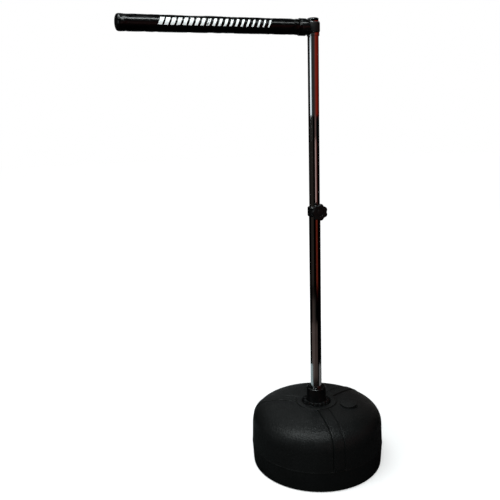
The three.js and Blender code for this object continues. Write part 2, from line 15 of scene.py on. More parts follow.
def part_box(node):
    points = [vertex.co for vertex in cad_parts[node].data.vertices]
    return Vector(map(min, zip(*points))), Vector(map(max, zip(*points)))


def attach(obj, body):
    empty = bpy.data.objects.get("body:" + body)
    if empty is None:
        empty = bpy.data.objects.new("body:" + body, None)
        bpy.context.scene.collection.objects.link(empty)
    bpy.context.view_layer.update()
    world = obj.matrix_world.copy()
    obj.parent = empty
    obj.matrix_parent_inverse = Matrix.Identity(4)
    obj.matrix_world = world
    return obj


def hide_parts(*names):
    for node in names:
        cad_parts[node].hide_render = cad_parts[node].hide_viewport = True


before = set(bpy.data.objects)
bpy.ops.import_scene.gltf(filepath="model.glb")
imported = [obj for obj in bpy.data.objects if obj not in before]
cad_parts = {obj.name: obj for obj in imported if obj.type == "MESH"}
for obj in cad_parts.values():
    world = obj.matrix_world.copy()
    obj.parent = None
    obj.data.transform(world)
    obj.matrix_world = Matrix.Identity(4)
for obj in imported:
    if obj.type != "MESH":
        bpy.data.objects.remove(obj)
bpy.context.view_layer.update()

MM = 0.001
FINE = 128  # sides of a piece as wide as the mast
SMALL = 48  # sides of a screw
SHARP_EDGE = math.radians(32)
GAP = 0.3  # between pieces that rest on each other
X, Y = 0, 1


# ---- The CAD frame, in millimetres ----
def low(node, axis=2):
    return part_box(node)[0][axis] / MM


def high(node, axis=2):
    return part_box(node)[1][axis] / MM


def middle(node, axis=2):
    return (low(node, axis) + high(node, axis)) / 2


def radius_of(node):
    """The outer radius of a node that is round about the mast's axis."""
    return high(node, X)


TANK_R = radius_of("base_tank")
LOWER_R = radius_of("lower_tube")
UPPER_R = radius_of("upper_tube")
BAR_Z = middle("bar_cover")
COVER_R = high("bar_cover") - BAR_Z
BAR_END = -low("bar_cover", X)
RIB_AZIMUTHS = [-102.4, 17.6, 137.6]
CLAMP_AZIMUTH = -98.3
SCREW_AZIMUTH = 58.7
CLAMP_Z = middle("clamp_knob_cap")
BAR_SCREW_AT = 40  # from the mast's axis
FILL_X = middle("fill_cap", X)
FILL_Y = middle("fill_cap", Y)


# ---- Profiles ----
def rounded(corners, closed=False, steps=5):
    """Turns (radius, height, fillet) corners into points. A corner without a fillet stays sharp."""
    points = []
    count = len(corners)
    for i, corner in enumerate(corners):
        here = np.array(corner[:2], float)
        fillet = corner[2] if len(corner) > 2 else 0
        if fillet == 0 or (not closed and i in (0, count - 1)):
            points.append(tuple(here))
            continue
        before = np.array(corners[i - 1][:2], float) - here
        after = np.array(corners[(i + 1) % count][:2], float) - here
        before_length = np.linalg.norm(before)
        after_length = np.linalg.norm(after)
        before /= before_length
        after /= after_length
        half = math.acos(max(-1, min(1, float(before @ after)))) / 2
        reach = min(fillet / math.tan(half), before_length * 0.49, after_length * 0.49)
        r = reach * math.tan(half)
        bisector = before + after
        centre = here + bisector / np.linalg.norm(bisector) * (r / math.sin(half))
        start = here + before * reach - centre
        end = here + after * reach - centre
        sweep = math.pi - 2 * half
        for k in range(steps + 1):
            t = k / steps
            a = math.sin((1 - t) * sweep) / math.sin(sweep)
            b = math.sin(t * sweep) / math.sin(sweep)
            points.append(tuple(centre + a * start + b * end))
    return points


def arc(centre_r, centre_z, radius, start, end, steps=10):
    """Points on an arc, with its angles in degrees."""
    angles = np.radians(np.linspace(start, end, steps + 1))
    return [(centre_r + radius * math.cos(a), centre_z + radius * math.sin(a)) for a in angles]


def smooth_step(x):
    x = np.clip(x, 0, 1)
    return x * x * (3 - 2 * x)


# ---- Meshes ----
def shade(piece):
    piece.data.shade_smooth()
    piece.data.set_sharp_from_angle(angle=SHARP_EDGE)
    return piece


def mesh_piece(name, vertices, faces):
    """A closed mesh piece from points in millimetres, with its faces turned outwards."""
    mesh = bpy.data.meshes.new(name)
    mesh.from_pydata([tuple(v) for v in np.asarray(vertices, float) * MM], [], faces)
    work = bmesh.new()
    work.from_mesh(mesh)
    bmesh.ops.recalc_face_normals(work, faces=work.faces)
    work.to_mesh(mesh)
    work.free()
    piece = bpy.data.objects.new(name, mesh)
    bpy.context.scene.collection.objects.link(piece)
    return shade(piece)


def polar(r, z, angle):
    return (r * math.cos(angle), r * math.sin(angle), z)


def grid_faces(rows, columns, closed_rows):
    """Quads of a grid whose columns go all the way round."""
    faces = []
    for i in range(rows if closed_rows else rows - 1):
        a = i * columns
        b = ((i + 1) % rows) * columns
        for j in range(columns):
            k = (j + 1) % columns
            faces.append((a + j, a + k, b + k, b + j))
    return faces


def close_ends(vertices, faces, columns, bottom, top):
    """Closes both ends of a grid with fans to points on the axis."""
    first = len(vertices)
    last_row = first - columns
    vertices += [(0, 0, bottom), (0, 0, top)]
    for j in range(columns):
        k = (j + 1) % columns
        faces.append((first, k, j))
        faces.append((first + 1, last_row + j, last_row + k))


def turned(name, points, sides=FINE, place=polar):
    """A solid turned round Z. It closes on itself unless it starts and ends on the axis."""
    on_axis = points[0][0] == 0
    body = points[1:-1] if on_axis else points
    angles = [2 * math.pi * j / sides for j in range(sides)]
    vertices = [place(r, z, a) for r, z in body for a in angles]
    faces = grid_faces(len(body), sides, not on_axis)
    if on_axis:
        close_ends(vertices, faces, sides, points[0][1], points[-1][1])
    return mesh_piece(name, vertices, faces)


def plain_rod(name, radius, start, end, sides=SMALL):
    return turned(name, [(0, start), (radius, start), (radius, end), (0, end)], sides)


def hex_rod(name, across, start, end):
    return turned(name, [(0, start), (across / 2, start), (across / 2, end), (0, end)], 6)


def combine(piece, tool, operation):
    """Joins or cuts a piece with a tool, which is used up."""
    modifier = piece.modifiers.new("combine", "BOOLEAN")
    modifier.solver = "EXACT"
    modifier.operation = operation
    modifier.object = tool
    graph = bpy.context.evaluated_depsgraph_get()
    result = bpy.data.meshes.new_from_object(piece.evaluated_get(graph))
    piece.modifiers.clear()
    old = piece.data
    piece.data = result
    bpy.data.meshes.remove(old)
    bpy.data.objects.remove(tool)
    return shade(piece)


def cut(piece, *tools):
    for tool in tools:
        combine(piece, tool, "DIFFERENCE")
    return piece


def join(piece, *tools):
    for tool in tools:
        combine(piece, tool, "UNION")
    return piece


# ---- Places ----
def moved(piece, matrix):
    piece.data.transform(matrix)
    return piece


def shifted(piece, x, y, z=0):
    return moved(piece, Matrix.Translation(Vector((x, y, z)) * MM))


def outwards(piece, azimuth, height):
    """Turns a piece's +Z outwards from the mast, at an azimuth in degrees and a height."""
    turn = Matrix.Rotation(math.radians(azimuth), 4, "Z") @ Matrix.Rotation(math.pi / 2, 4, "Y")
    return moved(piece, Matrix.Translation((0, 0, height * MM)) @ turn)


def along_bar(piece):
    """Turns a piece's +Z along the bar. Its +Y stays to the back, and its +X goes up."""
    return moved(piece, Matrix.Translation((0, 0, BAR_Z * MM)) @ Matrix.Rotation(-math.pi / 2, 4, "Y"))


def across_bar(piece):
    """Turns a piece's +Z to the back of the bar, at the place of the screw that holds the bar."""
    place = Matrix.Translation(Vector((-BAR_SCREW_AT, 0, BAR_Z)) * MM)
    return moved(piece, place @ Matrix.Rotation(-math.pi / 2, 4, "X"))


def at_clamp(piece):
    return outwards(piece, CLAMP_AZIMUTH, CLAMP_Z)


def at_fill(piece):
    return shifted(piece, FILL_X, FILL_Y)


def settle(piece, body, material, slot, *nodes):
    """Gives a finished piece its material, its body and the CAD nodes that it stands for."""
    piece.data.materials.clear()
    piece.data.materials.append(material)
    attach(piece, body)
    if nodes:
        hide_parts(*nodes)
    return piece


# ---- Materials ----
def principled(name, colour, roughness, metallic=0.0, **inputs):
    """A material with even values on the shader's own sockets."""
    material = bpy.data.materials.new(name)
    material.use_nodes = True
    shader = material.node_tree.nodes["Principled BSDF"]
    shader.inputs["Base Color"].default_value = (*colour, 1)
    shader.inputs["Roughness"].default_value = roughness
    shader.inputs["Metallic"].default_value = metallic
    for key, value in inputs.items():
        shader.inputs[key.replace("_", " ")].default_value = value
    return material


def add_node(material, kind, **settings):
    node = material.node_tree.nodes.new(kind)
    for key, value in settings.items():
        if key in node.inputs:
            node.inputs[key].default_value = value
        else:
            setattr(node, key, value)
    return node


def link(material, source, target):
    material.node_tree.links.new(source, target)


def object_place(material, stretch=(1, 1, 1)):
    """Object coordinates, stretched where a texture runs along one axis."""
    place = add_node(material, "ShaderNodeTexCoord")
    mapping = add_node(material, "ShaderNodeMapping")
    mapping.inputs["Scale"].default_value = stretch
    link(material, place.outputs["Object"], mapping.inputs["Vector"])
    return mapping.outputs["Vector"]


def noise(material, scale, detail, stretch=(1, 1, 1)):
    """Noise with a number of features per metre."""
    texture = add_node(material, "ShaderNodeTexNoise", Scale=scale, Detail=detail)
    link(material, object_place(material, stretch), texture.inputs["Vector"])
    return texture.outputs["Fac"]


def cells(material, scale):
    texture = add_node(material, "ShaderNodeTexVoronoi", Scale=scale)
    link(material, object_place(material), texture.inputs["Vector"])
    return texture.outputs["Distance"]


def spread(material, value, start, end, out_low, out_high):
    """Maps a value from one range to another, and stops at its ends."""
    limits = {"From Min": start, "From Max": end, "To Min": out_low, "To Max": out_high}
    ramp = add_node(material, "ShaderNodeMapRange", **limits)
    link(material, value, ramp.inputs["Value"])
    return ramp.outputs["Result"]


def vary_roughness(material, value, start, end, smooth, rough):
    shader = material.node_tree.nodes["Principled BSDF"]
    link(material, spread(material, value, start, end, smooth, rough), shader.inputs["Roughness"])


def vary_colour(material, value, start, end, dark, light):
    shader = material.node_tree.nodes["Principled BSDF"]
    mix = add_node(material, "ShaderNodeMix", data_type="RGBA")
    mix.inputs[6].default_value = (*dark, 1)
    mix.inputs[7].default_value = (*light, 1)
    link(material, spread(material, value, start, end, 0, 1), mix.inputs[0])
    link(material, mix.outputs[2], shader.inputs["Base Color"])


def add_bump(material, value, depth, strength=1.0):
    """Adds relief of a depth in millimetres on top of what the shader has already."""
    shader = material.node_tree.nodes["Principled BSDF"]
    bump = add_node(material, "ShaderNodeBump", Strength=strength, Distance=depth * MM)
    link(material, value, bump.inputs["Height"])
    for earlier in shader.inputs["Normal"].links:
        link(material, earlier.from_socket, bump.inputs["Normal"])
    link(material, bump.outputs["Normal"], shader.inputs["Normal"])


def tank_plastic():
    """Blow-moulded polyethylene with the mould's leathery pebble grain."""
    material = principled("tank_plastic", (0.0092, 0.0098, 0.0098), 0.38, Specular_IOR_Level=0.28)
    clouds = noise(material, 9, 5)
    vary_colour(material, clouds, 0.35, 0.7, (0.0082, 0.0087, 0.0087), (0.0102, 0.0108, 0.0108))
    vary_roughness(material, noise(material, 30, 4), 0.3, 0.7, 0.32, 0.44)
    add_bump(material, noise(material, 280, 2), 1.5, 0.9)
    add_bump(material, cells(material, 420), 0.1, 0.6)
    add_bump(material, noise(material, 14, 2), 0.6, 0.25)
    return material


def gloss_plastic():
    """Glossy injection-moulded plastic, with fine handling scratches."""
    material = principled("gloss_black_plastic", (0.0035, 0.0036, 0.0037), 0.2)
    vary_roughness(material, noise(material, 160, 6), 0.45, 0.75, 0.16, 0.3)
    add_bump(material, noise(material, 60, 2), 0.1, 0.25)
    add_bump(material, noise(material, 700, 3, (1, 1, 0.1)), 0.01, 0.4)
    return material


def satin_plastic():
    """The ring nut's satin plastic, scuffed on its teeth."""
    material = principled("satin_black_plastic", (0.006, 0.0063, 0.0065), 0.22)
    vary_roughness(material, noise(material, 200, 4), 0.35, 0.7, 0.18, 0.3)
    add_bump(material, noise(material, 900, 2), 0.03, 0.5)
    return material


def matt_plastic():
    """Spark-textured moulded plastic."""
    material = principled("matt_black_plastic", (0.0036, 0.0036, 0.0037), 0.42, Specular_IOR_Level=0.35)
    vary_roughness(material, noise(material, 120, 3), 0.35, 0.7, 0.36, 0.5)
    add_bump(material, noise(material, 1500, 2), 0.06, 0.7)
    return material


def chrome():
    """Polished chrome on tube, with polishing lines along it and faint smudges."""
    material = principled("chrome_tube", (0.80, 0.81, 0.82), 0.05, 1.0)
    vary_roughness(material, noise(material, 22, 6, (1, 1, 0.35)), 0.42, 0.8, 0.035, 0.14)
    vary_colour(material, noise(material, 35, 4), 0.4, 0.75, (0.82, 0.83, 0.84), (0.74, 0.75, 0.76))
    add_bump(material, noise(material, 900, 3, (1, 1, 0.02)), 0.006, 0.35)
    return material


def plated_steel():
    material = principled("plated_steel", (0.42, 0.43, 0.45), 0.3, 1.0)
    vary_roughness(material, noise(material, 300, 4), 0.3, 0.7, 0.22, 0.42)
    add_bump(material, noise(material, 1200, 2), 0.02, 0.5)
    return material


def brass():
    material = principled("brass", (0.55, 0.38, 0.13), 0.28, 1.0)
    vary_roughness(material, noise(material, 400, 3), 0.3, 0.7, 0.2, 0.4)
    return material


def rubber():
    material = principled("rubber", (0.008, 0.008, 0.008), 0.8)
    vary_colour(material, noise(material, 200, 3), 0.3, 0.7, (0.006, 0.006, 0.006), (0.013, 0.013, 0.013))
    add_bump(material, noise(material, 1400, 2), 0.05, 0.5)
    return material


def nylon():
    material = principled("nylon", (0.02, 0.02, 0.021), 0.45)
    vary_roughness(material, noise(material, 250, 3), 0.3, 0.7, 0.38, 0.55)
    add_bump(material, noise(material, 800, 2), 0.03, 0.4)
    return material


def foam():
    """Closed-cell foam: a close packing of small pores."""
    material = principled("foam", (0.03, 0.03, 0.032), 0.95)
    # Darker at the foot of each pore, where the same cells make pits in the bump: painted shade in the pores.
    vary_colour(material, cells(material, 900), 0.0, 0.6, (0.012, 0.012, 0.013), (0.045, 0.045, 0.047))
    add_bump(material, cells(material, 900), 0.35, 0.9)
    return material


def vinyl():
    """Glossy coated vinyl with a very fine grain, stretched over the foam."""
    material = principled("black_vinyl", (0.0012, 0.0012, 0.0013), 0.2, Specular_IOR_Level=0.35)
    vary_roughness(material, noise(material, 40, 5), 0.35, 0.75, 0.18, 0.3)
    add_bump(material, cells(material, 1100), 0.05, 0.45)
    add_bump(material, noise(material, 26, 3, (0.5, 1, 1)), 0.5, 0.22)
    return material


def ink():
    """Screen-printed white ink, a little worn."""
    material = principled("white_ink", (0.88, 0.89, 0.89), 0.4)
    vary_colour(material, noise(material, 420, 6), 0.42, 0.72, (0.92, 0.93, 0.93), (0.7, 0.71, 0.71))
    add_bump(material, noise(material, 900, 3), 0.02, 0.5)
    return material


def thread():
    material = principled("black_thread", (0.006, 0.006, 0.006), 0.6)
    add_bump(material, noise(material, 2500, 2), 0.05, 0.6)
    return material


TANK_PLASTIC = tank_plastic()
GLOSS = gloss_plastic()
SATIN = satin_plastic()
MATT = matt_plastic()
CHROME = chrome()
STEEL = plated_steel()
BRASS = brass()
RUBBER = rubber()
NYLON = nylon()
FOAM = foam()
VINYL = vinyl()
INK = ink()
THREAD = thread()

# ---- Tank ----
FOOT_ROUND = 8
FOOT_R = TANK_R - 12
SKIRT_SET_IN = 3.8
SKIRT_LEAN = 3.2
BOSS_R = 70.5
BOSS_HEIGHT = 3.5
SIDE_TOP_R = TANK_R - 3
SHOULDER_Z = 134.5
SHOULDER_POWER = 0.7  # 1 would be an ellipse, and less is squarer
SHOULDER_STEPS = 40
DOME_Z = 216
RECESS_R = 51.8
RECESS_WALL_R = 46.3
RECESS_STEP_Z = 212
SEAM_Z = 74
SEAM_PROUD = 0.8
SEAM_HALF = 1.6
WALL = 4
WELL_R = 30
WELL_FLOOR_Z = low("pole_socket") - 5
RECESS_FLOOR_Z = low("socket_gasket") - GAP
RIB_HALF = 17
RIB_PROUD = 1.9
GROOVE_AT = 19.6  # on both sides of each rib, from its middle
GROOVE_HALF = 3
GROOVE_DEPTH = 2.6
RIB_ZONE = 27  # half the width of the fine columns at a rib
RIB_FOOT_Z = 78.5
RIB_FADE = 3


def shoulder(offset=0, steps=SHOULDER_STEPS):
    """The turn from the side to the dome."""
    across = SIDE_TOP_R - BOSS_R + offset
    up = DOME_Z - SHOULDER_Z + offset
    points = []
    for angle in np.linspace(0, math.pi / 2, steps + 1):
        r = BOSS_R + across * max(math.cos(angle), 0) ** SHOULDER_POWER
        points.append((r, SHOULDER_Z + up * math.sin(angle) ** SHOULDER_POWER))
    return points


def tank_outline():
    """Outer profile from the middle of the underside to the bottom of the well."""
    skirt_top = SEAM_Z - 3 * SEAM_HALF
    skirt = []
    for t in (0.2, 0.4, 0.6, 0.8):
        skirt.append((TANK_R - SKIRT_SET_IN + SKIRT_LEAN * t, FOOT_ROUND + (skirt_top - FOOT_ROUND) * t))
    seam = [
        (TANK_R - SEAM_PROUD - 0.1, skirt_top),
        (TANK_R - SEAM_PROUD, SEAM_Z - SEAM_HALF),
        (TANK_R - 0.1, SEAM_Z - 0.4 * SEAM_HALF),
        (TANK_R, SEAM_Z),
        (TANK_R - 0.1, SEAM_Z + 0.4 * SEAM_HALF),
        (TANK_R - SEAM_PROUD, SEAM_Z + SEAM_HALF),
    ]
    top = DOME_Z + BOSS_HEIGHT
    crown = [
        (BOSS_R, DOME_Z, 1.2),
        (BOSS_R - 0.6, top, 1.6),
        (RECESS_R, top, 1.6),
        (RECESS_WALL_R + 1, RECESS_STEP_Z, 1.2),
        (RECESS_WALL_R, RECESS_FLOOR_Z, 1),
        (WELL_R, RECESS_FLOOR_Z, 1),
        (WELL_R, WELL_FLOOR_Z, 2),
        (0, WELL_FLOOR_Z),
    ]
    side = []
    for z in np.linspace(RIB_FOOT_Z - RIB_FADE, SHOULDER_Z - 6, 14):
        t = (z - SEAM_Z) / (SHOULDER_Z - SEAM_Z)
        side.append((TANK_R - SEAM_PROUD + (SIDE_TOP_R - TANK_R + SEAM_PROUD) * t, z))
    underside = [(0, 0), (60, 0), (130, 0), (190, 0)]
    foot = arc(FOOT_R, FOOT_ROUND, FOOT_ROUND, -90, 0)
    turn = shoulder()
    joined_crown = rounded([turn[-2], *crown])[1:]
    return [*underside, *foot, *skirt, *seam, *side, *turn[:-1], *joined_crown]


def rib_relief(across, z):
    """Height of a rib and its two grooves above the plain tank, at a distance from the rib's middle."""
    a = abs(across)
    band = RIB_PROUD * (1 - smooth_step((a - RIB_HALF) / (GROOVE_AT - RIB_HALF)))
    groove = GROOVE_DEPTH * (1 - min(abs(a - GROOVE_AT) / GROOVE_HALF, 1))
    fade = smooth_step((z - RIB_FOOT_Z + RIB_FADE) / RIB_FADE)
    return float(fade * (band - groove))


def tank_columns():
    """One third of a turn: across distances near the rib, then shares of the plain stretch between ribs."""
    near = [0, 5, 10, 14, 16, 17, 17.8, 18.6, 19.2, 19.6, 20.2, 20.8, 21.6, 22.6, 23.6, 25, RIB_ZONE]
    across = [-a for a in reversed(near[1:])] + near
    shares = np.linspace(0, 1, 50)[1:-1]
    return [("rib", a) for a in across] + [("plain", s) for s in shares]


def column_angle(kind, value, r):
    radius = max(r, BOSS_R)
    if kind == "rib":
        return math.asin(value / radius)
    edge = math.asin(RIB_ZONE / radius)
    return edge + value * (2 * math.pi / 3 - 2 * edge)


def tank_grid():
    """The tank's outside, turned round Z, with the ribs raised along its surface's own normals."""
    outline = np.array(tank_outline())
    body = outline[1:-1]
    slopes = np.gradient(outline, axis=0)[1:-1]
    normals = np.stack([slopes[:, 1], -slopes[:, 0]], axis=1)
    normals /= np.linalg.norm(normals, axis=1, keepdims=True)
    columns = tank_columns()
    vertices = []
    for (r, z), (normal_r, normal_z) in zip(body, normals):
        for azimuth in RIB_AZIMUTHS:
            for kind, value in columns:
                relief = 0
                if kind == "rib" and r >= BOSS_R and z > RIB_FOOT_Z - RIB_FADE:
                    relief = rib_relief(value, z)
                angle = math.radians(azimuth) + column_angle(kind, value, r)
                vertices.append(polar(r + relief * normal_r, z + relief * normal_z, angle))
    count = len(columns) * len(RIB_AZIMUTHS)
    faces = grid_faces(len(body), count, False)
    close_ends(vertices, faces, count, outline[0][1], outline[-1][1])
    return mesh_piece("tank_shell", vertices, faces)


SEAT_Z = low("fill_cap_seal") - GAP  # the flat round the fill opening
SEAT_R = 31.5
NECK_BORE_R = 22.8
NECK_R = 26.5
NECK_LOW_Z = 195


def tank_hollow():
    inner = [
        (0, WALL),
        *arc(FOOT_R, FOOT_ROUND, FOOT_ROUND - WALL, -90, 0, 4),
        (TANK_R - WALL, SEAM_Z),
        *shoulder(-WALL, 20),
        (RECESS_WALL_R + WALL, DOME_Z - WALL),
        (RECESS_WALL_R + WALL, RECESS_FLOOR_Z - WALL),
        (WELL_R + WALL, RECESS_FLOOR_Z - WALL),
        (WELL_R + WALL, WELL_FLOOR_Z - WALL),
        (0, WELL_FLOOR_Z - WALL),
    ]
    return turned("hollow", inner, 96)


def build_tank():
    shell = tank_grid()
    cut(shell, tank_hollow())
    join(shell, at_fill(plain_rod("neck", NECK_R, NECK_LOW_Z, SEAT_Z, 96)))
    join(shell, at_fill(plain_rod("seat", SEAT_R, SEAT_Z - WALL, SEAT_Z, 96)))
    above = SEAT_Z + 10
    over = turned("over", [(0, SEAT_Z), (SEAT_R + 0.2, SEAT_Z), (SEAT_R + 1.6, above), (0, above)], 96)
    bore = plain_rod("bore", NECK_BORE_R, NECK_LOW_Z - 5, SEAT_Z + 5, 96)
    cut(shell, at_fill(over), at_fill(bore))
    settle(shell, "base", TANK_PLASTIC, "tank_plastic", "base_tank")


def build_fill_cap():
    bottom = low("fill_cap")
    flange = high("fill_cap_seal") + GAP
    top = high("fill_cap")
    rim = high("fill_cap", Y) - FILL_Y
    spigot = 22.2
    cup = 18
    notches = 12
    notch_reach = 3
    notch_depth = 0.9

    def place(r, z, angle):
        grip = smooth_step((r - (rim - notch_reach)) / notch_reach) * (z > flange - 0.1)
        dip = max(0, math.cos(notches * angle)) ** 4
        return polar(r - notch_depth * grip * dip, z, angle)

    cap = turned("fill_cap_disc", rounded([
        (0, flange + 1),
        (cup, flange + 1),
        (cup, bottom),
        (spigot, bottom, 0.6),
        (spigot, flange),
        (rim, flange, 0.5),
        (rim, top - 1, 1.6),
        (0, top),
    ], steps=6), 192, place)
    settle(at_fill(cap), "cap", TANK_PLASTIC, "tank_plastic", "fill_cap")
    seal = turned("fill_cap_gasket", rounded([
        (spigot + GAP, low("fill_cap_seal"), 0.3),
        (rim - 1.5, low("fill_cap_seal"), 0.5),
        (rim - 1.5, high("fill_cap_seal"), 0.5),
        (spigot + GAP, high("fill_cap_seal"), 0.3),
    ], closed=True), 96)
    settle(at_fill(seal), "cap_seal", RUBBER, "rubber", "fill_cap_seal")


# ---- Socket ----
HUB_R = 34
SPIGOT_R = 29.4
LOWER_SEAT_R = LOWER_R + GAP  # the bore that the lower tube stands in


def build_hub():
    bottom = low("pole_socket")
    flange_low = high("socket_gasket") + GAP
    flange_top = low("lock_ring") - GAP
    top = high("pole_socket")
    hub = turned("mast_socket", rounded([
        (0, bottom),
        (SPIGOT_R, bottom, 2),
        (SPIGOT_R, flange_low),
        (radius_of("pole_socket"), flange_low, 0.5),
        (radius_of("pole_socket"), flange_top, 0.5),
        (HUB_R, flange_top, 1),
        (HUB_R - 0.7, top, 3.4),
        (LOWER_SEAT_R + 1.6, top, 0.4),
        (LOWER_SEAT_R, top - 1.6, 0.4),
        (LOWER_SEAT_R, low("lower_tube") - GAP),
        (0, low("lower_tube") - GAP),
    ]), 160)
    hole = plain_rod("hole", 3.3, LOWER_R, HUB_R + 1)
    cut(hub, outwards(hole, SCREW_AZIMUTH, middle("socket_screw")))
    settle(hub, "base", GLOSS, "gloss_black_plastic", "pole_socket")
    build_set_screw("socket_set_screw", 3, LOWER_SEAT_R, HUB_R - 0.8, "base", "socket_screw")


def build_set_screw(name, radius, start, end, body, node):
    """A headless screw with a chamfered end and a hexagon socket, at its CAD node's height."""
    screw = turned(name, rounded([(0, start), (radius, start, 0.5), (radius, end, 0.5), (0, end)]), SMALL)
    cut(screw, hex_rod("key", radius * 1.05, end - radius, end + 1))
    settle(outwards(screw, SCREW_AZIMUTH, middle(node)), body, STEEL, "plated_steel", node)


TEETH = 18
TEETH_LOW_Z = 216.5
TOOTH_REACH = 7
TOOTH_DEPTH = 4.6


def build_lock_ring():
    """The ring nut that holds the socket down, with grip teeth round its upper part."""
    bottom = low("lock_ring")
    top = high("lock_ring")
    outer = radius_of("lock_ring")

    def place(r, z, angle):
        grip = smooth_step((r - (outer - TOOTH_REACH)) / 4) * (z > TEETH_LOW_Z + 0.05)
        wave = 0.5 - 0.5 * math.cos(TEETH * angle)
        return polar(r - TOOTH_DEPTH * grip * smooth_step(wave * 1.5), z, angle)

    ring = turned("socket_ring_nut", rounded([
        (HUB_R + GAP, bottom),
        (outer, bottom, 0.5),
        (outer, TEETH_LOW_Z, 0.3),
        (outer - 0.2, TEETH_LOW_Z + 0.2),
        (outer - 0.4, top - 4.2, 0.8),
        (outer - 3.4, top, 1.4),
        (HUB_R + 1.4, top, 0.6),
        (HUB_R + GAP, top - 1.2, 0.3),
    ], closed=True, steps=6), TEETH * 16, place)
    settle(ring, "base", SATIN, "gloss_black_plastic", "lock_ring")


# ---- Mast and clamp ----
LOWER_WALL = 1.2
UPPER_WALL = 1.5
RIM_ROUND = 0.5
COLLAR_R = 23.4
COLLAR_CHAMFER = 3.5
COLLAR_BOSS_START = LOWER_R + 1.5
COLLAR_BOSS_END = 30
RIVET_R = 1.8
INSERT_START = 24.8
INSERT_R = 6
INSERT_BORE_R = 4.3
PAD_R = 4
KNOB_START = 30.6
KNOB_HEAD_START = 35
KNOB_END = 47
KNOB_R = 28.2
KNOB_BORE_R = 4.2
KNOB_LOBES = 7
KNOB_LOBE_DEPTH = 3.6
KNOB_TURN = math.radians(12.9)
STUD_R = 3.85
STUD_START = 20.8
STUD_END = 44
STUD_PITCH = 1.25
THREAD_DEPTH = 0.75


def build_lower_tube():
    bore = LOWER_R - LOWER_WALL
    bottom = low("lower_tube")
    top = high("lower_tube")
    piece = turned("mast_lower_tube", [
        (bore, bottom),
        (LOWER_R, bottom),
        *[(LOWER_R, z) for z in np.linspace(bottom + 3, top - 3, 24)],
        *arc(LOWER_R - RIM_ROUND, top - RIM_ROUND, RIM_ROUND, 0, 90, 4),
        (bore + 0.2, top),
        (bore, top - 0.3),
    ])
    cut(piece, at_clamp(plain_rod("hole", 4.9, LOWER_R - 4, LOWER_R + 3)))
    settle(piece, "base", CHROME, "chrome_tube", "lower_tube")


def build_collar():
    """The clamp body: a chamfered collar on the lower tube, with a boss for the clamp's screw."""
    bottom = low("clamp_collar")
    top = high("clamp_collar")
    neck = UPPER_R + 0.4
    shelf = high("lower_tube") + GAP
    collar = turned("clamp_body", rounded([
        (LOWER_SEAT_R, bottom),
        (COLLAR_R - COLLAR_CHAMFER, bottom, 0.5),
        (COLLAR_R, bottom + COLLAR_CHAMFER, 1.2),
        (COLLAR_R, top - COLLAR_CHAMFER, 1.2),
        (COLLAR_R - COLLAR_CHAMFER, top, 0.8),
        (neck, top, 0.3),
        (neck, shelf),
        (LOWER_SEAT_R, shelf),
    ], closed=True), 160)
    boss = turned("boss", rounded([
        (0, COLLAR_BOSS_START),
        (11.6, COLLAR_BOSS_START),
        (10.9, COLLAR_BOSS_END - 5, 2),
        (10.5, COLLAR_BOSS_END, 0.8),
        (0, COLLAR_BOSS_END),
    ]), 96)
    join(collar, at_clamp(boss))
    insert_hole = plain_rod("insert_hole", INSERT_R + GAP, INSERT_START - GAP, COLLAR_BOSS_END + 1)
    pad_hole = plain_rod("pad_hole", PAD_R + 0.5, LOWER_R - 1, 25)
    rivet_hole = plain_rod("rivet_hole", RIVET_R + GAP, LOWER_R - 1, COLLAR_R + 1)
    cut(collar, at_clamp(insert_hole), at_clamp(pad_hole), outwards(rivet_hole, SCREW_AZIMUTH, CLAMP_Z))
    settle(collar, "base", GLOSS, "gloss_black_plastic", "clamp_collar")
    head = COLLAR_R + GAP
    rivet = turned("clamp_rivet", rounded([
        (0, LOWER_SEAT_R),
        (RIVET_R, LOWER_SEAT_R),
        (RIVET_R, head),
        (3.4, head, 0.2),
        (3.2, head + 0.9, 0.8),
        (1.2, head + 1.5, 0.5),
        (0, head + 1.5),
    ]), SMALL)
    settle(outwards(rivet, SCREW_AZIMUTH, CLAMP_Z), "base", STEEL, "plated_steel", "clamp_collar_rivet")


def build_knob():
    """A lobed hand knob: rounded lobes, a flat face round a recess for its badge, and a skirt that meets the
    clamp's boss.
    """

    def place(r, z, angle):
        grip = smooth_step((r - 15) / (KNOB_R - 15))
        wave = 0.5 - 0.5 * math.cos(KNOB_LOBES * (angle - KNOB_TURN))
        return polar(r - KNOB_LOBE_DEPTH * grip * wave ** 1.3, z, angle)

    knob = turned("clamp_hand_knob", rounded([
        (KNOB_BORE_R, KNOB_START, 0.3),
        (13, KNOB_START, 0.6),
        (12.4, KNOB_HEAD_START - 0.6, 1.5),
        (17, KNOB_HEAD_START + 0.3, 1.2),
        (KNOB_R - 0.6, KNOB_HEAD_START + 0.9, 2),
        (KNOB_R, (KNOB_HEAD_START + KNOB_END) / 2, 5),
        (KNOB_R - 1.4, KNOB_END - 1.2, 1.6),
        (KNOB_R - 3.4, KNOB_END, 1.2),
        (12.9, KNOB_END, 0.4),
        (12.3, KNOB_END - 0.6, 0.3),
        (12.3, KNOB_END - 3, 0.3),
        (KNOB_BORE_R, KNOB_END - 3, 0.3),
    ], closed=True, steps=6), KNOB_LOBES * 32, place)
    settle(at_clamp(knob), "knob", MATT, "matt_black_plastic", "clamp_knob")
    cap = turned("clamp_knob_badge", rounded([
        (0, KNOB_END - 2.4),
        (12, KNOB_END - 2.4),
        (12, KNOB_END - 0.1, 0.6),
        (7, KNOB_END + 0.35, 4),
        (0, KNOB_END + 0.4),
    ]), 96)
    settle(at_clamp(cap), "knob", MATT, "matt_black_plastic", "clamp_knob_cap")


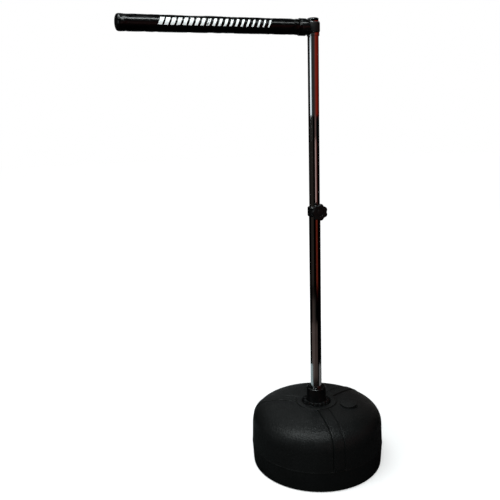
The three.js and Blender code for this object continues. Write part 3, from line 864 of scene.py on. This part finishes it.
def build_stud():
    """The clamp's screw, with its thread cut as a true helix, its brass insert and its pressure pad."""

    def place(r, z, angle):
        if r < 1:
            return polar(r, z, angle)
        phase = (z / STUD_PITCH - angle / (2 * math.pi)) % 1
        run_out = min(1, max(0, (z - STUD_START) / 1.2), max(0, (STUD_END - z) / 1.2))
        return polar(r - THREAD_DEPTH * (abs(phase - 0.5) * 2) - 0.4 * (1 - run_out), z, angle)

    heights = np.arange(STUD_START, STUD_END + 0.01, STUD_PITCH / 8)
    outline = [(0, STUD_START), *[(STUD_R, z) for z in heights], (0, heights[-1])]
    stud = turned("clamp_screw", outline, 36, place)
    settle(at_clamp(stud), "knob", STEEL, "plated_steel", "clamp_stud")
    insert = turned("clamp_thread_insert", rounded([
        (INSERT_BORE_R, INSERT_START),
        (INSERT_R, INSERT_START, 0.3),
        (INSERT_R, COLLAR_BOSS_END, 0.3),
        (INSERT_BORE_R, COLLAR_BOSS_END, 0.3),
    ], closed=True), SMALL)
    settle(at_clamp(insert), "base", BRASS, "brass", "clamp_insert")
    pad = turned("clamp_pressure_pad", rounded([
        (0, UPPER_R + GAP),
        (PAD_R, UPPER_R + GAP, 0.4),
        (PAD_R, UPPER_R + 3, 0.4),
        (0, UPPER_R + 3),
    ]), SMALL)
    settle(at_clamp(pad), "pad", NYLON, "nylon", "clamp_pad")


def build_upper_tube():
    """The upper tube, with a groove for the retaining ring, and the guide plug in its foot."""
    bottom = low("upper_tube")
    top = high("upper_tube")
    groove_low = low("retaining_ring") - 0.2
    groove_high = high("retaining_ring") + 0.2
    groove_r = UPPER_R - 0.7
    bore = UPPER_R - UPPER_WALL
    piece = turned("mast_upper_tube", [
        (bore, bottom),
        (UPPER_R, bottom),
        *[(UPPER_R, z) for z in np.linspace(bottom + 3, groove_low - 3, 40)],
        (UPPER_R, groove_low),
        (groove_r, groove_low),
        (groove_r, groove_high),
        (UPPER_R, groove_high),
        *arc(UPPER_R - 0.4, top - 0.4, 0.4, 0, 90, 4),
        (bore, top),
    ])
    settle(piece, "mast", CHROME, "chrome_tube", "upper_tube")
    foot = turned("mast_foot_plug", rounded([
        (0, bottom - 4.3),
        (UPPER_R, bottom - 4.3, 0.8),
        (UPPER_R, bottom - GAP, 0.3),
        (bore - GAP, bottom - GAP),
        (bore - GAP, high("upper_tube_foot"), 1),
        (0, high("upper_tube_foot")),
    ]), 96)
    settle(foot, "mast_foot", NYLON, "nylon", "upper_tube_foot")


def build_end_plug():
    """The domed plug on top of the mast."""
    top = high("tube_end_plug")
    seat = high("upper_tube") + GAP
    bottom = low("tube_end_plug")
    inner = UPPER_R - UPPER_WALL - GAP
    rim = seat + 1.1
    dome = [(UPPER_R * math.cos(a), rim + (top - rim) * math.sin(a)) for a in np.radians(range(8, 90, 8))]
    plug = turned("mast_end_plug", [
        (0, bottom),
        (inner - 0.6, bottom),
        (inner, bottom + 0.6),
        (inner, seat),
        (UPPER_R - 0.2, seat),
        (UPPER_R, seat + 0.2),
        (UPPER_R, rim),
        *dome,
        (0, top),
    ], 96)
    settle(plug, "mast", MATT, "matt_black_plastic", "tube_end_plug")


def build_stop_collar():
    bottom = low("stop_collar")
    top = high("stop_collar")
    outer = radius_of("stop_collar")
    inner = UPPER_R + GAP
    ring = turned("bar_stop_ring", rounded([
        (inner, bottom, 0.2),
        (outer, bottom, 0.9),
        (outer, top, 0.9),
        (inner, top, 0.2),
    ], closed=True))
    hole = plain_rod("hole", 2.3, UPPER_R - 1, outer + 1)
    cut(ring, outwards(hole, SCREW_AZIMUTH, middle("stop_collar")))
    settle(ring, "mast", CHROME, "chrome_tube", "stop_collar")
    build_set_screw("stop_ring_screw", 2, inner, outer + 0.2, "mast", "stop_collar_screw")


def build_retaining_ring():
    """An open spring ring with rounded tips."""
    bottom = low("retaining_ring")
    top = high("retaining_ring")
    inner = 17.1
    outer = radius_of("retaining_ring")
    mouth = math.asin(4.5 / UPPER_R)
    steps = 120
    corners = [(inner, bottom, 0.2), (outer, bottom, 0.3), (outer, top, 0.3), (inner, top, 0.2)]
    section = rounded(corners, closed=True)
    centre = np.array([(inner + outer) / 2, (bottom + top) / 2])
    vertices = []
    for i in range(steps + 1):
        t = i / steps
        angle = math.radians(SCREW_AZIMUTH) + mouth + t * (2 * math.pi - 2 * mouth)
        near_tip = min(t, 1 - t) * steps / 3
        scale = math.sqrt(max(0.05, 1 - (1 - min(1, near_tip)) ** 2))
        for point in section:
            r, z = centre + (np.array(point) - centre) * (1 - 0.6 * (1 - scale), scale)
            vertices.append(polar(r, z, angle))
    count = len(section)
    faces = grid_faces(steps + 1, count, False)
    faces.append(tuple(range(count)))
    faces.append(tuple(range(steps * count, (steps + 1) * count)))
    ring = mesh_piece("bar_retaining_ring", vertices, faces)
    settle(ring, "mast", STEEL, "plated_steel", "retaining_ring")


# ---- Swivel head ----
SLEEVE_HALF = high("swivel_sleeve") - BAR_Z
SLEEVE_BORE_R = 19.3
BUSH_BORE_R = 17.8
BUSH_R = 19
STUB_R = 11
STUB_BORE_R = 8
STUB_END = 75
CUP_START = -high("bar_end_cup", X)
CUP_DISC_END = 28.6
CUP_NECK_R = COVER_R + 0.1
CUP_SKIRT_R = high("bar_end_cup") - BAR_Z
CUP_SKIRT_END = -low("bar_end_cup", X)
COVER_START = -high("bar_cover", X)
COVER_WALL = 1.2
COVER_ROUND = 8
SCREW_HOLE_R = 2.8


def bar_screw_hole():
    """A hole from the bar's middle to the back, through all that the bar's screw holds."""
    return across_bar(plain_rod("hole", SCREW_HOLE_R, 0, CUP_SKIRT_R + 2))


def build_sleeve():
    bottom = BAR_Z - SLEEVE_HALF
    top = BAR_Z + SLEEVE_HALF
    outer = radius_of("swivel_sleeve")
    sleeve = turned("swivel_hub", rounded([
        (SLEEVE_BORE_R, bottom, 0.4),
        (outer, bottom, 1.1),
        (outer, top, 1.1),
        (SLEEVE_BORE_R, top, 0.4),
    ], closed=True), 160)
    stub = turned("stub", rounded([
        (0, outer - 1.5),
        (12.6, outer - 1.5),
        (STUB_R, outer + 2.2, 1.4),
        (STUB_R, STUB_END, 0.8),
        (0, STUB_END),
    ]), 96)
    join(sleeve, along_bar(stub))
    bore = plain_rod("bore", SLEEVE_BORE_R, bottom - 1, top + 1, 160)
    stub_bore = along_bar(plain_rod("stub_bore", STUB_BORE_R, outer - 1, STUB_END + 1, 64))
    screw_hole = across_bar(plain_rod("screw_hole", SCREW_HOLE_R, 0, STUB_R + 1))
    cut(sleeve, bore, stub_bore, screw_hole)
    settle(sleeve, "bar", MATT, "matt_black_plastic", "swivel_sleeve")
    build_bush("swivel_bush_top", "upper_bush", 1)
    build_bush("swivel_bush_bottom", "lower_bush", -1)


def build_bush(name, node, up):
    """A flanged bush at one end of the sleeve's bore: up is 1 at the top and -1 at the bottom."""
    face = BAR_Z + up * (SLEEVE_HALF + GAP)
    rim = high(node) if up > 0 else low(node)
    inner = low(node) if up > 0 else high(node)
    bush = turned(name, rounded([
        (BUSH_BORE_R, inner, 0.2),
        (BUSH_R, inner, 0.3),
        (BUSH_R, face),
        (radius_of(node), face, 0.2),
        (radius_of(node), rim, 0.4),
        (BUSH_BORE_R, rim, 0.3),
    ], closed=True), 96)
    settle(bush, "bar", NYLON, "nylon", node)


def build_cup():
    """The moulded cup that closes the bar's inner end, with its skirt over the cover, and its screw."""
    inner = STUB_R + GAP
    cup = turned("bar_end_cup_shell", rounded([
        (inner, CUP_START, 0.3),
        (CUP_NECK_R, CUP_START, 1.2),
        (CUP_NECK_R, CUP_DISC_END - 0.6, 0.5),
        (CUP_SKIRT_R, CUP_DISC_END + 0.4, 0.9),
        (CUP_SKIRT_R, CUP_SKIRT_END, 0.7),
        (COVER_R + GAP, CUP_SKIRT_END, 0.2),
        (COVER_R + GAP, CUP_DISC_END),
        (inner, CUP_DISC_END),
    ], closed=True), 160)
    cut(along_bar(cup), bar_screw_hole())
    settle(cup, "bar", GLOSS, "gloss_black_plastic", "bar_end_cup")
    seat = CUP_SKIRT_R + GAP
    screw = turned("bar_cup_screw", rounded([
        (0, 6),
        (2.5, 6, 0.5),
        (2.5, seat),
        (4.6, seat, 0.2),
        (4.3, seat + 1.3, 0.9),
        (1.5, seat + 2.3, 0.6),
        (0, seat + 2.3),
    ]), SMALL)
    cut(screw, hex_rod("key", 3, seat + 0.4, seat + 4))
    settle(across_bar(screw), "bar", STEEL, "plated_steel", "bar_screw")


# ---- Bar cover and foam ----
SEAM_ANGLE = math.radians(78)  # the cover's lap seam, at the back
SEAM_WIDTH = 7
SEAM_RISE = 0.45
CLOTH_SIDES = 72
CLOTH_ROWS = 140
CLOTH_FRAMES = 20
CLOTH_CAP = 0.5


def swell_by_cloth():
    """How far the vinyl stands out round the bar once it is stretched over the foam, in millimetres.

    The cover starts a little slack, is pressed out from inside by the foam, and is held at both ends and
    along its seam. Rows run along the bar, and columns go round it.
    """
    rows = np.linspace(CUP_SKIRT_END, BAR_END - COVER_ROUND, CLOTH_ROWS)
    angles = SEAM_ANGLE + 2 * np.pi * np.arange(CLOTH_SIDES) / CLOTH_SIDES
    points = [polar(COVER_R, z, a) for z in rows for a in angles]
    faces = grid_faces(CLOTH_ROWS, CLOTH_SIDES, False)
    mesh = bpy.data.meshes.new("cloth")
    mesh.from_pydata([tuple(np.array(p) * MM) for p in points], [], faces)
    cloth = bpy.data.objects.new("cloth", mesh)
    bpy.context.scene.collection.objects.link(cloth)
    held = cloth.vertex_groups.new(name="held")
    ends = [*range(CLOTH_SIDES), *range((CLOTH_ROWS - 1) * CLOTH_SIDES, CLOTH_ROWS * CLOTH_SIDES)]
    seam = [row * CLOTH_SIDES for row in range(CLOTH_ROWS)]
    held.add(ends + seam, 1.0, "REPLACE")
    modifier = cloth.modifiers.new("cloth", "CLOTH")
    settings = modifier.settings
    settings.quality = 5
    settings.mass = 0.15
    settings.tension_stiffness = 30
    settings.compression_stiffness = 30
    settings.shear_stiffness = 10
    settings.bending_stiffness = 0.05
    settings.shrink_min = -0.012
    settings.vertex_group_mass = "held"
    settings.use_pressure = True
    settings.uniform_pressure_force = 4
    settings.effector_weights.gravity = 0
    scene = bpy.context.scene
    for step in range(1, CLOTH_FRAMES + 1):
        scene.frame_set(step)
    shape = cloth.evaluated_get(bpy.context.evaluated_depsgraph_get()).data
    moved_points = np.array([v.co for v in shape.vertices]) / MM
    radii = np.hypot(moved_points[:, 0], moved_points[:, 1]).reshape(CLOTH_ROWS, CLOTH_SIDES)
    bpy.data.objects.remove(cloth)
    scene.frame_set(1)
    swell = radii - COVER_R
    return np.clip(swell - np.median(swell), -CLOTH_CAP, CLOTH_CAP)


SWELL = swell_by_cloth()


def cloth_swell(angle, along):
    """The simulated swell at a place on the cover, blended between the cloth's points."""
    row = (along - CUP_SKIRT_END) / (BAR_END - COVER_ROUND - CUP_SKIRT_END) * (CLOTH_ROWS - 1)
    row = min(max(row, 0), CLOTH_ROWS - 1.001)
    column = ((angle - SEAM_ANGLE) / (2 * math.pi) % 1) * CLOTH_SIDES
    i = int(row)
    j = int(column)
    u = row - i
    v = column - j
    k = (j + 1) % CLOTH_SIDES
    j %= CLOTH_SIDES
    near = SWELL[i, j] * (1 - v) + SWELL[i, k] * v
    far = SWELL[i + 1, j] * (1 - v) + SWELL[i + 1, k] * v
    return near * (1 - u) + far * u


def cover_relief(angle, along):
    """How far the stretched vinyl stands in or out, in millimetres: uneven, and gathered near its ends."""
    soft = 0.10 * math.sin(along / 47 + 1.3 * math.sin(angle)) * math.sin(2 * angle + along / 90)
    soft += 0.07 * math.sin(along / 23 + 3 * angle)
    near_cup = math.exp(-((along - CUP_SKIRT_END) / 16) ** 2)
    near_end = math.exp(-((BAR_END - COVER_ROUND - along) / 12) ** 2)
    gathers = math.sin(17 * angle + 0.8 * math.sin(3 * angle))
    gathered = 0.1 * near_cup * gathers + 0.09 * near_end * math.sin(23 * angle)
    return cloth_swell(angle, along) + soft - 0.12 + gathered


def cover_radius(r, angle, along):
    if r < COVER_R - 3 or along < CUP_SKIRT_END - 2:
        return r
    relief = cover_relief(angle, along)
    across = (angle - SEAM_ANGLE + math.pi) % (2 * math.pi) - math.pi
    lap = smooth_step(0.5 + across * COVER_R / 0.8) * smooth_step(0.5 + (SEAM_WIDTH - across * COVER_R) / 3)
    return r + relief + SEAM_RISE * lap * (across * COVER_R < SEAM_WIDTH + 2)


def cover_outline():
    """Section of the cover: inside from the tip to the open end, then outside back to the tip."""
    inner = COVER_R - COVER_WALL
    heights_in = np.linspace(BAR_END - COVER_ROUND, COVER_START, 16)
    heights_out = np.concatenate([
        np.linspace(COVER_START, CUP_SKIRT_END + 14, 24),
        np.linspace(CUP_SKIRT_END + 18, BAR_END - COVER_ROUND, 150),
    ])
    return [
        (0, BAR_END - COVER_WALL),
        *arc(inner - COVER_ROUND + COVER_WALL, BAR_END - COVER_ROUND, COVER_ROUND - COVER_WALL, 90, 0, 8),
        *[(inner, z) for z in heights_in[1:]],
        *[(COVER_R, z) for z in heights_out[:-1]],
        *arc(COVER_R - COVER_ROUND, BAR_END - COVER_ROUND, COVER_ROUND, 0, 90, 14),
        (0, BAR_END),
    ]


def build_cover():
    def place(r, z, angle):
        return polar(cover_radius(r, angle, z), z, angle)

    cover = turned("bar_vinyl_cover", cover_outline(), 192, place)
    cut(along_bar(cover), bar_screw_hole())
    settle(cover, "bar", VINYL, "black_vinyl", "bar_cover")


def build_foam():
    start = -high("bar_foam", X)
    end = -low("bar_foam", X)
    radius = high("bar_foam") - BAR_Z
    core_end = -low("bar_core_plug", X) + 1
    core_r = 13
    outer = radius - 0.25
    round_r = COVER_ROUND - COVER_WALL - GAP
    body = turned("bar_foam_tube", [
        (0, core_end),
        (core_r, core_end),
        (core_r, start),
        *[(outer, z) for z in np.linspace(start, end - round_r, 40)[:-1]],
        *arc(outer - round_r, end - round_r, round_r, 0, 90, 8),
        (0, end),
    ], 96)
    cut(along_bar(body), bar_screw_hole())
    settle(body, "bar", FOAM, "foam", "bar_foam")


def build_stitching():
    """A row of thread stitches along the cover's lap seam."""
    pitch = 4.2
    length = 3.0
    thick = 0.28
    vertices = []
    faces = []
    ring = 8
    steps = 6
    angle = SEAM_ANGLE + 2.4 / COVER_R
    for start in np.arange(CUP_SKIRT_END + 6, BAR_END - COVER_ROUND - 4, pitch):
        base = len(vertices)
        for i in range(steps + 1):
            t = i / steps
            along = start + length * t
            rise = 0.12 + 0.28 * math.sin(math.pi * t)
            radius = cover_radius(COVER_R, angle, along) + rise - thick * 0.5
            girth = thick * (0.45 + 0.55 * math.sin(math.pi * (0.08 + 0.84 * t)))
            for j in range(ring):
                turn = 2 * math.pi * j / ring
                r = radius + girth * math.cos(turn)
                side = girth * math.sin(turn) / COVER_R
                vertices.append(polar(r, along, angle + side))
        for i in range(steps):
            for j in range(ring):
                k = (j + 1) % ring
                a = base + i * ring
                faces.append((a + j, a + k, a + ring + k, a + ring + j))
        faces.append(tuple(base + j for j in range(ring)))
        faces.append(tuple(base + steps * ring + j for j in range(ring)))
    stitches = mesh_piece("bar_seam_stitches", vertices, faces)
    settle(along_bar(stitches), "bar", THREAD, "black_vinyl")


# ---- Print on the bar: plain slanted bars in place of any lettering ----
PRINT_START = 160
PRINT_END = 520
PRINT_HEIGHT = 21
PRINT_ANGLE = math.radians(-90 + 11)
PRINT_PITCH = 17.5
PRINT_SLANT = 5
PRINT_THIN = 0.30  # share of the pitch that the first bar fills
PRINT_WIDEN = 0.38  # how much more the last one fills
INK_LOW = 0.02
INK_HIGH = 0.1


def patch(vertices, faces, start, width, half_height):
    """One slanted bar of ink, as a thin closed shell on the cover."""
    rows = 7
    columns = 4
    base = len(vertices)
    for lift in (INK_LOW, INK_HIGH):
        for i in range(rows):
            v = -1 + 2 * i / (rows - 1)
            angle = PRINT_ANGLE + v * half_height / COVER_R
            for j in range(columns):
                along = start + width * j / (columns - 1) - PRINT_SLANT * v
                vertices.append(polar(cover_radius(COVER_R, angle, along) + lift, along, angle))
    layer = rows * columns

    def at(top, i, j):
        return base + top * layer + i * columns + j

    for i in range(rows - 1):
        for j in range(columns - 1):
            faces.append((at(1, i, j), at(1, i, j + 1), at(1, i + 1, j + 1), at(1, i + 1, j)))
            faces.append((at(0, i, j), at(0, i + 1, j), at(0, i + 1, j + 1), at(0, i, j + 1)))
    for i in range(rows - 1):
        for j in (0, columns - 1):
            faces.append((at(0, i, j), at(0, i + 1, j), at(1, i + 1, j), at(1, i, j)))
    for j in range(columns - 1):
        for i in (0, rows - 1):
            faces.append((at(0, i, j), at(0, i, j + 1), at(1, i, j + 1), at(1, i, j)))


def build_print():
    vertices = []
    faces = []
    count = int((PRINT_END - PRINT_START) / PRINT_PITCH)
    for i in range(count):
        share = i / (count - 1)
        width = PRINT_PITCH * (PRINT_THIN + PRINT_WIDEN * share)
        patch(vertices, faces, PRINT_START + i * PRINT_PITCH, width, PRINT_HEIGHT / 2)
    stripes = mesh_piece("bar_print_stripes", vertices, faces)
    settle(along_bar(stripes), "bar", INK, "black_vinyl")


# ---- CAD nodes that keep their shape ----
def finish_cad_nodes():
    looks = {
        "socket_gasket": RUBBER,
        "lower_tube_plug": NYLON,
        "bar_core_tube": STEEL,
        "bar_core_plug": NYLON,
    }
    for node, material in looks.items():
        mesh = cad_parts[node].data
        mesh.materials.clear()
        mesh.materials.append(material)


# ---- Stage, light and camera ----
CAMERA_AZIMUTH = -31.3
CAMERA_DISTANCE = 2.0916
CAMERA_HEIGHT = 1.2391
CAMERA_YAW = -5.97
CAMERA_PITCH = 12.68
CAMERA_ROLL = -1.83
LENS = 45.86
LIGHT_TINT = (0.93, 1.0, 1.0)


def from_camera(degrees):
    """Unit vector on the floor, at an angle to the right of the way from the mast to the camera."""
    angle = math.radians(CAMERA_AZIMUTH - 90 + degrees)
    return Vector((math.cos(angle), math.sin(angle), 0))


def build_camera():
    data = bpy.data.cameras.new("camera")
    data.lens = LENS
    data.sensor_width = 36
    camera = bpy.data.objects.new("camera", data)
    bpy.context.scene.collection.objects.link(camera)
    yaw, pitch, roll = (math.radians(a) for a in (CAMERA_YAW, CAMERA_PITCH, CAMERA_ROLL))
    forward = Vector((math.sin(yaw) * math.cos(pitch), math.cos(yaw) * math.cos(pitch), -math.sin(pitch)))
    level = Vector((math.cos(yaw), -math.sin(yaw), 0))
    down = forward.cross(level)
    right = math.cos(roll) * level - math.sin(roll) * down
    up = -(math.sin(roll) * level + math.cos(roll) * down)
    turn = Matrix((right, up, -forward)).transposed().to_4x4()
    spot = from_camera(0) * CAMERA_DISTANCE + Vector((0, 0, CAMERA_HEIGHT))
    azimuth = Matrix.Rotation(math.radians(CAMERA_AZIMUTH), 4, "Z")
    camera.matrix_world = Matrix.Translation(spot) @ azimuth @ turn
    bpy.context.scene.camera = camera


def area_light(name, width, depth, power):
    data = bpy.data.lights.new(name, "AREA")
    data.shape = "RECTANGLE"
    data.size = width
    data.size_y = depth
    data.energy = power
    data.color = LIGHT_TINT
    light = bpy.data.objects.new(name, data)
    bpy.context.scene.collection.objects.link(light)
    return light


def aimed_light(name, degrees, distance, height, aim_height, width, depth, power):
    """An area light round the trainer that points at a height on the mast."""
    light = area_light(name, width, depth, power)
    light.location = from_camera(degrees) * distance + Vector((0, 0, height))
    light.rotation_mode = "QUATERNION"
    light.rotation_quaternion = (Vector((0, 0, aim_height)) - light.location).to_track_quat("-Z", "Y")
    return light


def emitter(name, colour):
    material = bpy.data.materials.new(name)
    material.use_nodes = True
    tree = material.node_tree
    tree.nodes.clear()
    glow = tree.nodes.new("ShaderNodeEmission")
    glow.inputs["Color"].default_value = (*colour, 1)
    out = tree.nodes.new("ShaderNodeOutputMaterial")
    tree.links.new(glow.outputs[0], out.inputs["Surface"])
    return material


SURROUND_R = 4.0
DEGREES_A_STEP = 4


def seen_height(mast_z):
    """Height on the surround that the mast reflects to the camera from a height on the mast, in metres."""
    return mast_z + SURROUND_R * (mast_z - CAMERA_HEIGHT) / CAMERA_DISTANCE


def card(name, start, end, bottom, top, colour):
    """A curved reflection card: seen only in glossy surfaces, between two angles from the camera."""
    steps = max(2, int(abs(end - start) / DEGREES_A_STEP))
    vertices = []
    for i in range(steps + 1):
        spot = from_camera(start + (end - start) * i / steps) * SURROUND_R
        vertices += [(spot.x, spot.y, bottom), (spot.x, spot.y, top)]
    faces = [(2 * i, 2 * i + 2, 2 * i + 3, 2 * i + 1) for i in range(steps)]
    mesh = bpy.data.meshes.new(name)
    mesh.from_pydata(vertices, [], faces)
    mesh.materials.append(emitter(name, colour))
    piece = bpy.data.objects.new(name, mesh)
    bpy.context.scene.collection.objects.link(piece)
    piece.visible_camera = False
    piece.visible_diffuse = False
    piece.visible_shadow = False
    piece.visible_transmission = False


def build_cards():
    """Cards round the trainer, in bands stated by the stretch of mast that reflects them to the camera."""
    bands = {
        "head": (1.205, 1.56, [
            (-175, -73, (0.012, 0.012, 0.012)),
            (-73, -50, (1.15, 1.25, 1.28)),
            (-50, -37, (0.30, 0.37, 0.39)),
            (-37, 18, (0.024, 0.024, 0.023)),
            (18, 40, (0.085, 0.030, 0.027)),
            (40, 72, (0.19, 0.017, 0.008)),
            (72, 110, (0.12, 0.003, 0.001)),
            (110, 175, (0.05, 0.02, 0.015)),
        ]),
        "chest": (1.13, 1.205, [
            (-95, -20, (0.02, 0.018, 0.016)),
            (18, 50, (0.10, 0.06, 0.055)),
        ]),
        "waist": (0.905, 1.13, [
            (-95, -20, (0.015, 0.013, 0.011)),
            (18, 44, (0.34, 0.23, 0.21)),
            (44, 60, (0.12, 0.03, 0.025)),
        ]),
        "thigh": (0.64, 0.905, [
            (-80, -22, (0.017, 0.014, 0.012)),
            (22, 58, (0.095, 0.012, 0.006)),
        ]),
        "knee_high": (0.51, 0.60, [
            (-70, -20, (0.034, 0.025, 0.022)),
            (-20, 10, (0.012, 0.010, 0.009)),
        ]),
        "knee": (0.30, 0.51, [
            (-84, -20, (0.070, 0.052, 0.046)),
            (-20, 40, (0.042, 0.030, 0.026)),
        ]),
        "ankle": (0.255, 0.36, [
            (-178, -64, (0.26, 0.32, 0.33)),
            (66, 178, (0.12, 0.12, 0.12)),
        ]),
        "behind": (0.36, 1.205, [
            (-178, -156, (0.19, 0.205, 0.21)),
            (150, 172, (0.17, 0.165, 0.16)),
        ]),
    }
    for band, (bottom, top, cards) in bands.items():
        for i, (start, end, colour) in enumerate(cards):
            card(f"card_{band}_{i}", start, end, seen_height(bottom), seen_height(top), colour)


FLOOR_R = 14000
FLOOR_DEPTH = 60
FLOOR_TOP = -0.4
FLOOR_WHITE = 0.9
FLOOR_GLOW = 0.62  # near the trainer
GLOW_START = 0.25
GLOW_END = 1.6


def build_stage():
    """A plain pale floor that brightens into the backdrop far from the trainer."""
    floor = plain_rod("floor", FLOOR_R, -FLOOR_DEPTH, FLOOR_TOP, 96)
    material = bpy.data.materials.new("pale_floor")
    material.use_nodes = True
    tree = material.node_tree
    shader = tree.nodes["Principled BSDF"]
    shader.inputs["Base Color"].default_value = (FLOOR_WHITE, FLOOR_WHITE, FLOOR_WHITE, 1)
    shader.inputs["Roughness"].default_value = 0.8
    shader.inputs["Specular IOR Level"].default_value = 0.0
    shader.inputs["Emission Color"].default_value = (1, 1, 1, 1)
    place = add_node(material, "ShaderNodeTexCoord")
    length = add_node(material, "ShaderNodeVectorMath", operation="LENGTH")
    link(material, place.outputs["Object"], length.inputs[0])
    far = spread(material, length.outputs["Value"], GLOW_START, GLOW_END, FLOOR_GLOW, 1.0)
    link(material, far, shader.inputs["Emission Strength"])
    floor.data.materials.append(material)
    floor.visible_glossy = False
    floor.visible_diffuse = False


def build_world():
    """A white backdrop that only the camera sees."""
    world = bpy.data.worlds.new("world")
    world.use_nodes = True
    background = world.node_tree.nodes["Background"]
    background.inputs["Color"].default_value = (1, 1, 1, 1)
    background.inputs["Strength"].default_value = 1.0
    for ray in ("diffuse", "glossy", "transmission", "scatter"):
        setattr(world.cycles_visibility, ray, False)
    bpy.context.scene.world = world
    bpy.context.scene.view_settings.view_transform = "Standard"


STRIP_REACH = 0.5
STRIP_ANGLE = math.radians(50)


def build_strip(name, x, power):
    """A narrow light along the bar, above its front, for the line of light on its cover."""
    strip = area_light(name, 0.4, 0.04, power)
    strip.visible_camera = False
    above = BAR_Z * MM + STRIP_REACH * math.sin(STRIP_ANGLE)
    strip.location = (x, -STRIP_REACH * math.cos(STRIP_ANGLE), above)
    strip.rotation_euler = (math.pi / 2 - STRIP_ANGLE, 0, 0)


def build_lights():
    """Each light has its angle from the camera, distance, height, height aimed at, width, depth and power."""
    aimed_light("key", -35, 0.9, 3.0, 0.6, 1.9, 0.6, 34)
    aimed_light("back", -165, 2.6, 2.9, 0.3, 2.4, 1.0, 7)
    aimed_light("key_low", -58, 2.1, 2.9, 0.2, 1.3, 0.7, 12)
    fill = aimed_light("fill", 0, 3.6, 1.2, 0.5, 3.0, 2.0, 44)
    fill.visible_glossy = False
    build_strip("strip_tip", -0.33, 1.7)
    build_strip("strip_mast", 0.07, 0.6)


def build_all():
    build_tank()
    build_fill_cap()
    build_hub()
    build_lock_ring()
    build_lower_tube()
    build_collar()
    build_knob()
    build_stud()
    build_upper_tube()
    build_end_plug()
    build_stop_collar()
    build_retaining_ring()
    build_sleeve()
    build_cup()
    build_foam()
    build_cover()
    build_stitching()
    build_print()
    finish_cad_nodes()


build_camera()
build_all()
build_stage()
build_world()
build_lights()
build_cards()
